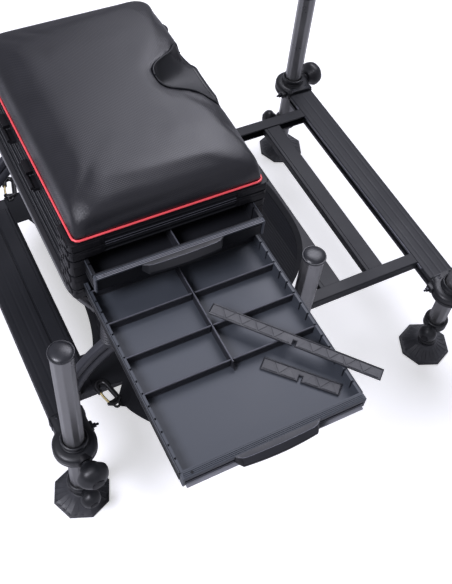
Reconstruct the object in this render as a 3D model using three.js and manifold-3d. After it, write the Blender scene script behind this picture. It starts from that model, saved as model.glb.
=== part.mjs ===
// Fishing seat box: a padded lid over two drawers, carried on a six-legged frame with a sliding footplate.
// Millimetres, +Z up. +X is forward, over the footplate. The drawers open towards -Y.
import * as THREE from "three";
import { mergeVertices } from "three/addons/utils/BufferGeometryUtils.js";
import Module from "manifold-3d";

const manifold = await Module();
manifold.setup();

// Working values
const gap = 0.3;
const overrun = 4;
const mergeDistance = 0.001;
const roundSteps = 20;
const barSides = 12;
const cornerSteps = 3;

// Box plan and the levels of its stacked sections, all above the ground
const boxLength = 300;
const boxWidth = 428;
const boxCorner = 8;
const baseLevel = 456;
const baseHeight = 23;
const lowerCaseHeight = 33;
const upperCaseHeight = 35;
const trayHeight = 20;
const lidHeight = 17;
const lowerCaseLevel = baseLevel + baseHeight;
const upperCaseLevel = lowerCaseLevel + lowerCaseHeight;
const trayLevel = upperCaseLevel + upperCaseHeight;
const lidLevel = trayLevel + trayHeight;
const lidTopLevel = lidLevel + lidHeight;
const mouldingReach = 45;
const mouldingBulge = 8;
const mouldingSeam = 1.5;
const profileRecess = 2;
const caseWall = 7.5;
const insideCorner = 2;
const panelThickness = 3;
const runnerDepth = 14;
const runnerThickness = 2.5;

// Seat pad, its piping and the rest that is let into its front edge
const pipingRadius = 3;
const pipingInset = 1.7;
const pipingEndInset = 2.9;
const pipingCorner = 11;
const pipingSides = 8;
const padHeight = 57;
const padCorner = 13;
const padSteps = 7;
const padCoreShare = 0.33;
// Rise and inward distance of each ring of the pad, from its foot to its crown, as shares of its height
const padRingShares = [
  [0, 0.063], [0.12, 0.063], [0.15, 0.018], [0.24, 0], [0.4, 0.009], [0.55, 0.035], [0.68, 0.096],
  [0.78, 0.184], [0.86, 0.298], [0.92, 0.456], [0.965, 0.702], [0.99, 1.053],
];
const restWidth = 104;
const restDepth = 80;
const restCorner = 26;
const restWall = 2.5;
const restBackRise = 33;
const restFrontRise = 15;
const restBottomRise = 11;
const restTopRise = 50;
const restBottom = lidTopLevel + restBottomRise;
const restLipReach = 10;
const restLipWidth = 80;
const restLipThickness = 4;

// Lid hinge
const hingeReach = 12;
const hingeRadius = 3.6;
const hingeKnuckle = 26;
const hingeSpread = 52;

// Drawers
const trayLength = 390;
const trayWall = 2;
const trayFloor = 2;
const slotStart = 20.95;
const slotPitch = 20.77;
const slotWidth = 3.2;
const slotDepth = 3;
const dividerThickness = 2.4;
const lowerSideGap = 10;
const lowerRise = 12;
const lowerHeight = 22;
const lowerHold = 61;
const lowerFrontThickness = 10;
const upperSideGap = 14;
const upperRise = 1;
const upperHeight = 30.5;
const upperRearSpace = 59.5;
const upperFrontThickness = 9;
const drawerGap = 0.5;
const handleWidth = 130;
const handleBow = 15;
const handleWall = 3;
const handleEnd = 6;
const handleHeight = 19;
const handleSteps = 10;
const dividerDrop = 3;
const freeSlotCount = 5;
const rowSlotCount = 3;
const dividerRows = 4;
const notchGap = 0.5;

// Two spare dividers: one lies across the open drawer, one in its front compartment
const spareThickness = 2.5;
const spareWidth = 19;
const shortSpareWidth = 20;
// Their ends in plan: share of the drawer's half width, then of the length from the tray's front
// to its rear end for the long one, and to the first cross divider for the short one
const spareStartShares = [0.0693, 0.5428];
const spareEndShares = [1.2829, 0.0295];
const shortSpareStartShares = [0.2979, 0.875];
const shortSpareEndShares = [0.87, 0.1906];
const spareNotchWidth = 4;
const spareNotchDepthShare = 0.5;

// Beams, rails and footplate
const beamTop = 209;
const beamHeight = 26;
const beamWidth = 56;
const beamCorner = 4;
const beamSlot = 8;
const beamSlotDepth = 5;
const rearBeamX = -208;
const midBeamX = 210;
const frontBeamX = 562;
const midBeamDrop = 25;
const rearBeamOverhang = 18;
const midBeamOverhang = 19;
const frontBeamOverhang = 44;
const stripWidth = 35;
const stripGroove = 3;
const railOuter = 235;
const railWidth = 25;
const railHeight = 22;
const railWall = 2.5;
const railClearance = 0.4;
const runnerWidth = 14;
const fixedRailEnd = -84;
const slidingRailStart = 50;
const slatEntry = 3.5;
const slatHeight = 16.2;
const slatCorner = 2;
const midSlatX = 448.5;
const midSlatWidth = 39;
const crossbarX = 347;
const crossbarWidth = 45;
const saddleWidth = 18;
const saddleWeb = 9;

// Arched side frames
const archThickness = 14;
const archFootOuter = 211;
const archFootInner = 172;
const archTop = 368;
const archInnerTop = 323;
const archFlat = 50;
const archSteps = 12;
const archOuterShares = [0.84, 0.56, 0.387];
const archInnerShares = [0.953, 0.382, 0.448];
const lugReach = 16;
const lugHeight = 32;

// Tube hoops over the arches, which carry the box
const hoopRadius = 12;
const hoopInset = 3;
const hoopSplay = 37;
const hoopFootLevel = 313;
const hoopBendDrop = 59;
const hoopBendRun = 56;
const hoopBendPull = 30;
const hoopBendSteps = 7;
const hoopSides = 12;

// Slack net under the box
const netThickness = 2;
const netClearance = 0.8;
const netRear = -95;
const netFront = 358;
const netSideGap = 10;
const netFrontPull = 110;
const netRearPull = 45;
const netSag = 17;
const netSagEnd = 90;
const netColumns = 13;
const netRows = 12;
const flapRear = -88;
const flapFront = 120;
const flapOverlap = 14;
const flapRailGap = 4;
const flapLean = 22;
const flapOut = 37;
const flapOutMiddle = 60;
const flapDrop = 13;
const flapDropMiddle = 88;
const flapColumns = 12;
const flapRows = 5;
const flapTopRows = 2;
const flapSwellPower = 0.7;
const flapHangPower = 1.4;

// Snap links that hold the net's rear corners
const linkOffset = 78.2;
const linkReach = 19;
const linkLength = 60;
const linkWidth = 24;
const linkTurn = 75.8;
const linkRadius = 3;
const linkSides = 6;

// Legs
const legRadius = 18;
const legBore = 18.5;
const rearLegShift = -6;
const rearLegReach = 62;
const rearLegTop = 504;
const midLegShift = 0;
const midLegReach = 41;
const midLegTop = 476;
const frontLegShift = -3;
const frontLegReach = 36;
const frontLegTop = 453;
const capRadius = 19.5;
const capHeight = 4;
const capDome = 3;
const capShoulderShare = 0.7;
const collarRadius = 37.5;
const clampHeight = 24;
const clampLip = 4.5;
const clampLipHeight = 14;
const clampRise = 8;
const clampWidth = 58;
const bossRadius = 12;
const bossLength = 1;
const knobRadius = 27.5;
const knobLength = 46;
// Distance share along the knob and radius share of each turn of its pear shape
const knobShares = [
  [0, 0.36], [0.06, 0.42], [0.14, 0.68], [0.26, 0.88], [0.42, 1], [0.58, 0.99], [0.74, 0.9],
  [0.88, 0.7], [1, 0.42],
];
const knobSides = 14;
const footRadius = 54;
const footRim = 6;
const footRise = 20;
const footHubRadius = 20;
const footSides = 8;
const spigotRadius = 13;
const spigotSides = 16;
const lockCollarRadius = 24;
const lockCollarHeight = 20;
const lockWall = 4;
const stemDepth = 72;
const lockKnobRadius = 19;
const lockKnobLength = 36;
const rearLockLevel = 44;
const frontLockLevel = 87;
const rearLockTurn = 84;
const frontLockTurn = 150;
const rearKnobTurn = 84;
const midKnobTurn = 90;
const frontKnobTurn = 15;

// Finishes
const surface = (colour, roughness, metalness) => ({ colour, roughness, metalness });
const finishes = {
  vinyl: surface(0x1d1d1f, 0.5, 0),
  piping: surface(0xc0202b, 0.5, 0),
  moulded: surface(0x1b1c1e, 0.55, 0),
  softGrey: surface(0x3a3b3e, 0.6, 0),
  profile: surface(0x2a2b2d, 0.4, 0.6),
  drawer: surface(0x25272c, 0.5, 0),
  drawerDark: surface(0x1e2024, 0.55, 0),
  frame: surface(0x2b2d30, 0.45, 0.5),
  leg: surface(0x303236, 0.35, 0.7),
  net: surface(0x17181a, 0.9, 0),
  link: surface(0x202124, 0.3, 0.7),
  foot: surface(0x1a1b1c, 0.7, 0),
};

// Solids from three.js geometries, and back

function toSolid(geometry) {
  const bare = new THREE.BufferGeometry();
  bare.setAttribute("position", geometry.getAttribute("position"));
  bare.setIndex(geometry.index);
  const merged = mergeVertices(bare, mergeDistance);
  const corners = merged.index.array;
  const kept = [];
  for (let i = 0; i < corners.length; i += 3) {
    const [a, b, c] = [corners[i], corners[i + 1], corners[i + 2]];
    if (a !== b && b !== c && c !== a) kept.push(a, b, c);
  }
  const vertProperties = merged.getAttribute("position").array;
  const triVerts = new Uint32Array(kept);
  return new manifold.Manifold(new manifold.Mesh({ numProp: 3, vertProperties, triVerts }));
}

function toGeometry(solid) {
  const mesh = solid.getMesh();
  const geometry = new THREE.BufferGeometry();
  geometry.setAttribute("position", new THREE.BufferAttribute(mesh.vertProperties, 3));
  geometry.setIndex(new THREE.BufferAttribute(mesh.triVerts, 1));
  geometry.computeVertexNormals();
  return geometry;
}

function join(...geometries) {
  return toGeometry(geometries.map(toSolid).reduce((all, next) => all.add(next)));
}

function cut(geometry, ...tools) {
  const solid = toSolid(geometry);
  return toGeometry(tools.map(toSolid).reduce((rest, tool) => rest.subtract(tool), solid));
}

function common(first, second) {
  return toGeometry(toSolid(first).intersect(toSolid(second)));
}

// Basic forms

function block(x0, x1, y0, y1, z0, z1) {
  const box = new THREE.BoxGeometry(x1 - x0, y1 - y0, z1 - z0);
  return box.translate((x0 + x1) / 2, (y0 + y1) / 2, (z0 + z1) / 2);
}

function upright(shape, z0, z1, curveSegments = cornerSteps) {
  const options = { depth: z1 - z0, bevelEnabled: false, curveSegments };
  return new THREE.ExtrudeGeometry(shape, options).translate(0, 0, z0);
}

// A shape drawn in X and Z, run from y0 to y1
function alongY(shape, y0, y1, curveSegments = cornerSteps) {
  const options = { depth: y1 - y0, bevelEnabled: false, curveSegments };
  return new THREE.ExtrudeGeometry(shape, options).rotateX(Math.PI / 2).translate(0, y1, 0);
}

// A shape drawn in Y and Z, run from x0 to x1
function alongX(shape, x0, x1, curveSegments = cornerSteps) {
  const options = { depth: x1 - x0, bevelEnabled: false, curveSegments };
  const turn = new THREE.Matrix4().makeBasis(
    new THREE.Vector3(0, 1, 0),
    new THREE.Vector3(0, 0, 1),
    new THREE.Vector3(1, 0, 0),
  );
  return new THREE.ExtrudeGeometry(shape, options).applyMatrix4(turn).translate(x0, 0, 0);
}

function cylinder(radius, z0, z1, sides = roundSteps, topRadius = radius) {
  const form = new THREE.CylinderGeometry(topRadius, radius, z1 - z0, sides);
  return form.rotateX(Math.PI / 2).translate(0, 0, (z0 + z1) / 2);
}

// A solid turned about Z from [radius, height] points that start and end on the axis
function turned(points, sides) {
  const profile = points.map(([radius, height]) => new THREE.Vector2(radius, height));
  return new THREE.LatheGeometry(profile, sides).rotateX(Math.PI / 2);
}

function polygon(points) {
  return new THREE.Shape(points.map(([x, y]) => new THREE.Vector2(x, y)));
}

function roundedRectangle(x0, x1, y0, y1, radius) {
  const shape = new THREE.Shape();
  shape.moveTo(x0 + radius, y0);
  shape.lineTo(x1 - radius, y0);
  shape.absarc(x1 - radius, y0 + radius, radius, -Math.PI / 2, 0);
  shape.lineTo(x1, y1 - radius);
  shape.absarc(x1 - radius, y1 - radius, radius, 0, Math.PI / 2);
  shape.lineTo(x0 + radius, y1);
  shape.absarc(x0 + radius, y1 - radius, radius, Math.PI / 2, Math.PI);
  shape.lineTo(x0, y0 + radius);
  shape.absarc(x0 + radius, y0 + radius, radius, Math.PI, Math.PI * 1.5);
  return shape;
}

// Points round a rounded rectangle, the same number at every size
function roundedLoop(halfX, halfY, radius, steps) {
  const centres = [[1, -1], [1, 1], [-1, 1], [-1, -1]];
  const points = [];
  centres.forEach(([sx, sy], corner) => {
    for (let i = 0; i <= steps; i += 1) {
      const angle = (corner - 1 + i / steps) * (Math.PI / 2);
      const x = sx * (halfX - radius) + radius * Math.cos(angle);
      const y = sy * (halfY - radius) + radius * Math.sin(angle);
      points.push([x, y]);
    }
  });
  return points;
}

// Skin over rings of points that all have the same count, closed by a fan at both ends
function loft(rings) {
  const count = rings[0].length;
  const positions = rings.flat(2);
  const faces = [];
  for (let r = 0; r + 1 < rings.length; r += 1) {
    for (let i = 0; i < count; i += 1) {
      const a = r * count + i;
      const b = r * count + ((i + 1) % count);
      faces.push(a, b, b + count, a, b + count, a + count);
    }
  }
  const middle = (points) => [0, 1, 2].map((k) => points.reduce((sum, p) => sum + p[k], 0) / count);
  const low = positions.length / 3;
  positions.push(...middle(rings[0]), ...middle(rings.at(-1)));
  const last = (rings.length - 1) * count;
  for (let i = 0; i < count; i += 1) {
    const next = (i + 1) % count;
    faces.push(next, i, low);
    faces.push(last + i, last + next, low + 1);
  }
  return indexed(positions, faces);
}

function indexed(positions, faces) {
  const geometry = new THREE.BufferGeometry();
  geometry.setAttribute("position", new THREE.Float32BufferAttribute(positions, 3));
  geometry.setIndex(faces);
  return geometry;
}

// A round bar bent along a closed loop that lies level
function loopTube(points, level, radius, sides) {
  const count = points.length;
  const positions = [];
  const faces = [];
  points.forEach(([x, y], i) => {
    const before = points[(i + count - 1) % count];
    const after = points[(i + 1) % count];
    const run = new THREE.Vector2(after[0] - before[0], after[1] - before[1]).normalize();
    for (let k = 0; k < sides; k += 1) {
      const angle = (k / sides) * Math.PI * 2;
      const out = radius * Math.cos(angle);
      positions.push(x + run.y * out, y - run.x * out, level + radius * Math.sin(angle));
      const next = ((i + 1) % count) * sides;
      const a = i * sides + k;
      const b = i * sides + ((k + 1) % sides);
      const c = next + ((k + 1) % sides);
      faces.push(a, next + k, c, a, c, b);
    }
  });
  return indexed(positions, faces);
}

// A thin closed sheet over a grid of points, thickened along its own normals
function sheet(pointAt, columns, rows, thickness) {
  const at = (i, j) => new THREE.Vector3(...pointAt(i / columns, j / rows));
  const sides = [[], []];
  for (let i = 0; i <= columns; i += 1) {
    for (let j = 0; j <= rows; j += 1) {
      const along = at(Math.min(i + 1, columns), j).sub(at(Math.max(i - 1, 0), j));
      const across = at(i, Math.min(j + 1, rows)).sub(at(i, Math.max(j - 1, 0)));
      const normal = along.cross(across).normalize().multiplyScalar(thickness / 2);
      sides[0].push(...at(i, j).add(normal).toArray());
      sides[1].push(...at(i, j).sub(normal).toArray());
    }
  }
  const faces = [];
  const index = (i, j, side) => side * (columns + 1) * (rows + 1) + i * (rows + 1) + j;
  const quad = (a, b, c, d) => faces.push(a, b, c, a, c, d);
  for (let i = 0; i < columns; i += 1) {
    for (let j = 0; j < rows; j += 1) {
      quad(index(i, j, 0), index(i + 1, j, 0), index(i + 1, j + 1, 0), index(i, j + 1, 0));
      quad(index(i, j, 1), index(i, j + 1, 1), index(i + 1, j + 1, 1), index(i + 1, j, 1));
    }
    quad(index(i, 0, 1), index(i + 1, 0, 1), index(i + 1, 0, 0), index(i, 0, 0));
    quad(index(i, rows, 0), index(i + 1, rows, 0), index(i + 1, rows, 1), index(i, rows, 1));
  }
  for (let j = 0; j < rows; j += 1) {
    quad(index(0, j, 0), index(0, j + 1, 0), index(0, j + 1, 1), index(0, j, 1));
    quad(index(columns, j, 1), index(columns, j + 1, 1), index(columns, j + 1, 0), index(columns, j, 0));
  }
  return indexed([...sides[0], ...sides[1]], faces);
}

function mesh(name, geometry, finish) {
  const { colour, roughness, metalness } = finishes[finish];
  const material = new THREE.MeshStandardMaterial({ color: colour, roughness, metalness });
  const made = new THREE.Mesh(geometry, material);
  made.name = name;
  return made;
}

// Box sections

const halfLength = boxLength / 2;
const halfWidth = boxWidth / 2;
const openingReach = halfWidth + overrun;
const openingBack = halfWidth - caseWall - overrun;
const lowerHalfWidth = halfLength - lowerSideGap;
const lowerBottom = baseLevel + lowerRise;
const lowerTop = lowerBottom + lowerHeight;
const upperHalfWidth = halfLength - upperSideGap;
const upperBottom = upperCaseLevel + upperRise;
const upperTop = upperBottom + upperHeight;

function coreOutline() {
  const x = halfLength - profileRecess;
  const y = halfWidth - profileRecess;
  return roundedRectangle(-x, x, -y, y, boxCorner - profileRecess);
}

// The mouldings turn the corner and stand out, and the profile between two of them sits back
function mouldedOutline() {
  const signs = [[1, -1], [1, 1], [-1, 1], [-1, -1]];
  const outerX = halfLength + mouldingBulge;
  const corner = roundedLoop(outerX, halfWidth, boxCorner, cornerSteps);
  const per = cornerSteps + 1;
  const longSide = halfWidth - mouldingReach;
  const shortSide = halfLength - mouldingReach;
  const backX = halfLength - caseWall / 2;
  const backY = halfWidth - caseWall / 2;
  const points = [];
  signs.forEach(([sx, sy], k) => {
    points.push(...corner.slice(k * per, (k + 1) * per));
    const sideIsLong = k % 2 === 0;
    if (sideIsLong) {
      points.push([sx * outerX, sy * longSide], [sx * backX, sy * longSide]);
      points.push([sx * backX, -sy * longSide], [sx * outerX, -sy * longSide]);
    } else {
      points.push([sx * shortSide, sy * halfWidth], [sx * shortSide, sy * backY]);
      points.push([-sx * shortSide, sy * backY], [-sx * shortSide, sy * halfWidth]);
    }
  });
  return polygon(points);
}

function sectionRing(z0, z1) {
  const inX = halfLength - caseWall;
  const inY = halfWidth - caseWall;
  const hole = roundedRectangle(-inX, inX, -inY, inY, insideCorner);
  const mouldings = upright(mouldedOutline(), z0 + mouldingSeam, z1 - mouldingSeam);
  const body = join(upright(coreOutline(), z0, z1), mouldings);
  return cut(body, upright(hole, z0 - overrun, z1 + overrun));
}

// Ledges on both long walls that a drawer runs on
function runners(top, halfOpening) {
  const inY = halfWidth - caseWall + gap;
  return [-1, 1].map((side) => {
    const outer = side * (halfLength - caseWall + gap);
    const inner = side * (halfOpening - runnerDepth);
    const [x0, x1] = [Math.min(outer, inner), Math.max(outer, inner)];
    return block(x0, x1, -inY, inY, top - runnerThickness, top);
  });
}

// What is cut from the right wall for a drawer to pass
function drawerMouth(halfOpening, z0, z1) {
  const half = halfOpening + drawerGap;
  return block(-half, half, -openingReach, -openingBack, z0, z1);
}

function baseFrame() {
  const floor = upright(coreOutline(), baseLevel, baseLevel + panelThickness);
  const top = lowerCaseLevel - gap;
  const body = join(sectionRing(baseLevel, top), floor, ...runners(lowerBottom - gap, lowerHalfWidth));
  return cut(body, drawerMouth(lowerHalfWidth, lowerBottom - gap, top + overrun));
}

function lowerCase() {
  const top = upperCaseLevel - gap;
  const body = join(sectionRing(lowerCaseLevel, top), ...runners(top, upperHalfWidth));
  return cut(body, drawerMouth(lowerHalfWidth, lowerCaseLevel - overrun, lowerTop + drawerGap));
}

function upperCase() {
  const top = trayLevel - gap;
  const body = sectionRing(upperCaseLevel, top);
  const half = upperHalfWidth + drawerGap;
  const liner = (side) => {
    const x0 = side * (half + gap);
    const x1 = side * (halfLength - caseWall + gap);
    const inY = halfWidth - caseWall + gap * 2;
    return block(Math.min(x0, x1), Math.max(x0, x1), -inY, inY, upperCaseLevel + gap, top - gap);
  };
  const mouth = drawerMouth(upperHalfWidth, upperCaseLevel - overrun, top + overrun);
  return cut(join(body, liner(-1), liner(1)), mouth);
}

const hingeX = -halfLength - hingeReach;

// Knuckle of the hinge about the middle y, with the arm that carries it between two levels
function knuckle(y, z0, z1) {
  const half = hingeKnuckle / 2;
  const pin = new THREE.CylinderGeometry(hingeRadius, hingeRadius, hingeKnuckle, barSides);
  const arm = block(hingeX, -halfLength + overrun, y - half, y + half, z0, z1);
  return [pin.translate(hingeX, y, lidLevel - gap / 2), arm];
}

function trayFrame() {
  const top = lidLevel - gap;
  const floor = upright(coreOutline(), trayLevel, trayLevel + panelThickness);
  const knuckles = [-1, 1].flatMap((side) => {
    const y = side * hingeSpread - hingeKnuckle / 2 - gap;
    return knuckle(y, top - hingeRadius * 2, top - gap * 2);
  });
  return join(sectionRing(trayLevel, top), floor, ...knuckles);
}

function lidFrame() {
  const panel = upright(coreOutline(), lidTopLevel - panelThickness, lidTopLevel);
  const knuckles = [-1, 1].flatMap((side) => {
    const y = side * hingeSpread + hingeKnuckle / 2 + gap;
    const low = lidLevel + gap;
    return knuckle(y, low, low + hingeRadius * 2);
  });
  return join(sectionRing(lidLevel, lidTopLevel), panel, ...knuckles);
}

// Seat pad

const pipingX = halfLength - pipingInset;
const pipingY = halfWidth - pipingEndInset;
const pipingLevel = lidTopLevel + pipingRadius + gap;
const padHalfX = pipingX;
const padHalfY = pipingY;
const padBottom = lidTopLevel + gap;

function padBlank() {
  const rings = padRingShares.map(([rise, share]) => {
    const inset = share * padHeight;
    const radius = Math.min(padCorner + inset, padHalfX - inset);
    const level = padBottom + rise * padHeight;
    const loop = roundedLoop(padHalfX - inset, padHalfY - inset, radius, padSteps);
    return loop.map(([x, y]) => [x, y, level]);
  });
  const core = padHalfX * padCoreShare;
  const crown = roundedLoop(core, padHalfY - padHalfX + core, core, padSteps);
  rings.push(crown.map(([x, y]) => [x, y, padBottom + padHeight]));
  return loft(rings);
}

// Plan of the rest: square at the front edge of the pad, rounded at its inner end
function restPlan(inset) {
  const half = restWidth / 2 - inset;
  const back = halfLength - restDepth + inset;
  const front = halfLength + overrun;
  const radius = restCorner - inset;
  const shape = new THREE.Shape();
  shape.moveTo(front, -half);
  shape.lineTo(front, half);
  shape.lineTo(back + radius, half);
  shape.absarc(back + radius, half - radius, radius, Math.PI / 2, Math.PI);
  shape.lineTo(back, -half + radius);
  shape.absarc(back + radius, -half + radius, radius, Math.PI, Math.PI * 1.5);
  return shape;
}

const padCrown = padBottom + padHeight + overrun;

function seatPad() {
  return cut(padBlank(), upright(restPlan(0), restBottom, padCrown));
}

function poleRest() {
  const back = halfLength - restDepth;
  const front = halfLength + overrun * 2;
  const hollowSide = polygon([
    [back, lidTopLevel + restBackRise],
    [front, lidTopLevel + restFrontRise],
    [front, padCrown],
    [back, padCrown],
  ]);
  const inside = common(
    upright(restPlan(gap + restWall), restBottom, padCrown),
    alongY(hollowSide, -restWidth, restWidth),
  );
  const shell = cut(upright(restPlan(gap), restBottom + gap, lidTopLevel + restTopRise), inside);
  const flush = common(shell, padBlank());
  const lipFront = padHalfX + restLipReach;
  const lipBack = padHalfX - restLipReach;
  const halfLip = restLipWidth / 2;
  const top = restBottom + gap + restLipThickness;
  const lip = roundedRectangle(lipBack, lipFront, -halfLip, halfLip, restLipReach / 2);
  return join(flush, upright(lip, restBottom + gap, top));
}

function pipingLoop() {
  const loop = roundedLoop(pipingX, pipingY, pipingCorner, padSteps);
  return loopTube(loop, pipingLevel, pipingRadius, pipingSides);
}

// Drawers

const slotRun = trayLength - trayWall * 2 - slotStart - slotWidth;
const slotCount = Math.floor(slotRun / slotPitch) + 1;

// Plan of a tray's walls, with a comb of divider slots down both long sides
function trayWalls(half, y0, y1) {
  const shape = roundedRectangle(-half, half, y0, y1, trayWall);
  const band = trayWall + slotDepth;
  const innerX = half - band;
  const slotX = half - trayWall;
  const hole = [];
  const firstSlot = y0 + slotStart - slotWidth / 2;
  const slotStarts = Array.from({ length: slotCount }, (_, i) => firstSlot + i * slotPitch);
  hole.push([innerX, y0 + trayWall]);
  slotStarts.forEach((y) => {
    hole.push([innerX, y], [slotX, y], [slotX, y + slotWidth], [innerX, y + slotWidth]);
  });
  hole.push([innerX, y1 - trayWall], [-innerX, y1 - trayWall]);
  [...slotStarts].reverse().forEach((y) => {
    hole.push([-innerX, y + slotWidth], [-slotX, y + slotWidth], [-slotX, y], [-innerX, y]);
  });
  hole.push([-innerX, y0 + trayWall]);
  shape.holes.push(polygon(hole));
  return shape;
}

function drawerTray(half, front, bottom, top) {
  const back = front + trayLength;
  const walls = upright(trayWalls(half, front, back), bottom, top);
  const inset = trayWall / 2;
  const floor = block(-half + inset, half - inset, front + inset, back - inset, bottom, bottom + trayFloor);
  return join(walls, floor);
}

// Segment of a circle in plan, standing out from the front face by its bow
function bowPlan(width, bow, y) {
  const half = width / 2;
  const radius = (half * half + bow * bow) / (2 * bow);
  const reach = Math.asin(half / radius);
  const points = [];
  for (let i = 0; i <= handleSteps; i += 1) {
    const angle = -reach + (2 * reach * i) / handleSteps;
    points.push([radius * Math.sin(angle), y - (radius * Math.cos(angle) - (radius - bow))]);
  }
  points.push([half, y + handleWall], [-half, y + handleWall]);
  return polygon(points);
}

function drawerFront(half, reach, thickness, bottom, top) {
  const face = -reach;
  const panel = block(-half, half, face, face + thickness - gap, bottom, top);
  const handleBottom = top - handleHeight;
  const grip = upright(bowPlan(handleWidth, handleBow, face), handleBottom, top);
  const hollow = upright(
    bowPlan(handleWidth - handleEnd * 2, handleBow - handleWall, face),
    handleBottom - overrun,
    top - handleWall,
  );
  const solid = cut(grip, hollow);
  return join(panel, solid);
}

// How far each front stands out: the open lower tray keeps its hold in the case
const lowerReach = boxWidth / 2 - profileRecess + trayLength + lowerFrontThickness - lowerHold;
const upperReach = trayLength + upperFrontThickness + upperRearSpace + caseWall - boxWidth / 2;
const lowerTrayFront = -lowerReach + lowerFrontThickness;
const upperTrayFront = -upperReach + upperFrontThickness;
const dividerRow = (row) => lowerTrayFront + slotStart + (freeSlotCount + row * rowSlotCount) * slotPitch;
const dividerBottom = lowerBottom + trayFloor + gap;
const dividerTop = lowerTop - dividerDrop;
const dividerMiddle = (dividerBottom + dividerTop) / 2;

function crossDivider(row) {
  const y = dividerRow(row);
  const half = lowerHalfWidth - trayWall - gap;
  const thick = dividerThickness / 2;
  const plate = block(-half, half, y - thick, y + thick, dividerBottom, dividerTop);
  const notch = thick + notchGap;
  const reach = thick + overrun;
  const notchBottom = dividerMiddle - notchGap / 2;
  const slot = block(-notch, notch, y - reach, y + reach, notchBottom, dividerTop + overrun);
  return cut(plate, slot);
}

function centreDivider() {
  const thick = dividerThickness / 2;
  const back = lowerTrayFront + trayLength - trayWall - gap;
  const front = dividerRow(0) - thick - slotDepth;
  const plate = block(-thick, thick, front, back, dividerBottom, dividerTop);
  const slots = Array.from({ length: dividerRows }, (_, row) => {
    const y = dividerRow(row);
    const half = thick + notchGap;
    const notchTop = dividerMiddle + notchGap / 2;
    return block(-overrun, overrun, y - half, y + half, dividerBottom - overrun, notchTop);
  });
  return cut(plate, ...slots);
}

function upperDivider() {
  const thick = dividerThickness / 2;
  const front = upperTrayFront + trayWall + gap;
  const back = upperTrayFront + trayLength - trayWall - gap;
  return block(-thick, thick, front, back, upperBottom + trayFloor + gap, upperTop - dividerDrop);
}

const frontSpace = dividerRow(0) - lowerTrayFront;
const sparePoint = ([x, y], run) => [x * lowerHalfWidth, lowerTrayFront + y * run];

// A divider that lies flat, from one plan point to another, with a notch at its middle
function flatDivider(startShares, endShares, run, width, level) {
  const [start, end] = [sparePoint(startShares, run), sparePoint(endShares, run)];
  const length = Math.hypot(end[0] - start[0], end[1] - start[1]);
  const turn = Math.atan2(end[1] - start[1], end[0] - start[0]);
  const plate = block(-length / 2, length / 2, -width / 2, width / 2, level, level + spareThickness);
  const depth = width * spareNotchDepthShare;
  const half = spareNotchWidth / 2;
  const top = level + spareThickness;
  const notch = block(-half, half, width / 2 - depth, width / 2 + overrun, level - overrun, top + overrun);
  const piece = cut(plate, notch).rotateZ(turn);
  return piece.translate((start[0] + end[0]) / 2, (start[1] + end[1]) / 2, 0);
}

// Frame

const midBeamTop = beamTop - midBeamDrop;
const rearBeamHalf = railOuter + rearBeamOverhang;
const midBeamHalf = railOuter + midBeamOverhang;
const frontBeamHalf = railOuter + frontBeamOverhang;

// A beam across the object, with rounded edges and a slot along both narrow sides
function beam(x, top, halfRun) {
  const half = beamWidth / 2;
  const section = roundedRectangle(x - half, x + half, top - beamHeight, top, beamCorner);
  const z0 = top - (beamHeight + beamSlot) / 2;
  const y = halfRun + overrun;
  const slots = [-1, 1].map((side) => {
    const a = x + side * (half - beamSlotDepth);
    const b = x + side * (half + overrun);
    return block(Math.min(a, b), Math.max(a, b), -y, y, z0, z0 + beamSlot);
  });
  return cut(alongY(section, -halfRun, halfRun), ...slots);
}

const railInner = railOuter - railWidth;
const railTop = beamTop;
const railBottom = beamTop - railHeight;
const runnerBottom = railBottom + railWall + railClearance;
const runnerTop = railTop - railWall - railClearance;
const runnerOuter = railOuter - railWall - railClearance;
const rearBeamFront = rearBeamX + beamWidth / 2;
const rearStripEnd = rearBeamFront + stripWidth;

function rearBeam() {
  const half = railInner - gap;
  const start = rearBeamFront - beamSlotDepth - overrun;
  const strip = block(start, rearStripEnd, -half, half, railBottom, beamTop);
  const [x, y] = [rearBeamFront, half + overrun];
  const groove = block(x, x + stripGroove, -y, y, beamTop - stripGroove, beamTop + overrun);
  return cut(join(beam(rearBeamX, beamTop, rearBeamHalf), strip), groove);
}

// Stub of rail behind, and the slimmer runner that the footplate slides on
function fixedRail(side) {
  const stub = block(rearBeamFront + gap, fixedRailEnd, railInner, railOuter, railBottom, railTop);
  const runnerEnd = midBeamX + beamWidth / 2;
  const inner = runnerOuter - runnerWidth;
  const runner = block(fixedRailEnd - overrun, runnerEnd, inner, runnerOuter, runnerBottom, runnerTop);
  return mirrored(join(stub, runner), side);
}

function midBeam() {
  const x0 = midBeamX - beamWidth / 2;
  const webOuter = railInner - gap * 2;
  const noseOuter = runnerOuter - runnerWidth - gap;
  const noseTop = runnerTop - railWall;
  const x1 = x0 + saddleWidth;
  const saddles = [-1, 1].flatMap((side) => [
    mirrored(block(x0, x1, webOuter - saddleWeb, webOuter, midBeamTop - beamCorner, noseTop), side),
    mirrored(block(x0, x1, webOuter - saddleWeb, noseOuter, runnerBottom, noseTop), side),
  ]);
  return join(beam(midBeamX, midBeamTop, midBeamHalf), ...saddles);
}

// Geometry made on the +Y side, kept there for side 1 and mirrored for side -1
function mirrored(geometry, side) {
  if (side > 0) return geometry;
  const flipped = toSolid(geometry).mirror([0, 1, 0]);
  return toGeometry(flipped);
}

function slidingRail(side) {
  const end = frontBeamX - beamWidth / 2 - gap;
  const section = polygon([
    [railInner, railBottom],
    [railOuter, railBottom],
    [railOuter, railTop],
    [railInner, railTop],
    [railInner, railTop - railWall],
    [railOuter - railWall, railTop - railWall],
    [railOuter - railWall, railBottom + railWall],
    [railInner, railBottom + railWall],
  ]);
  return mirrored(alongX(section, slidingRailStart, end), side);
}

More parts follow.
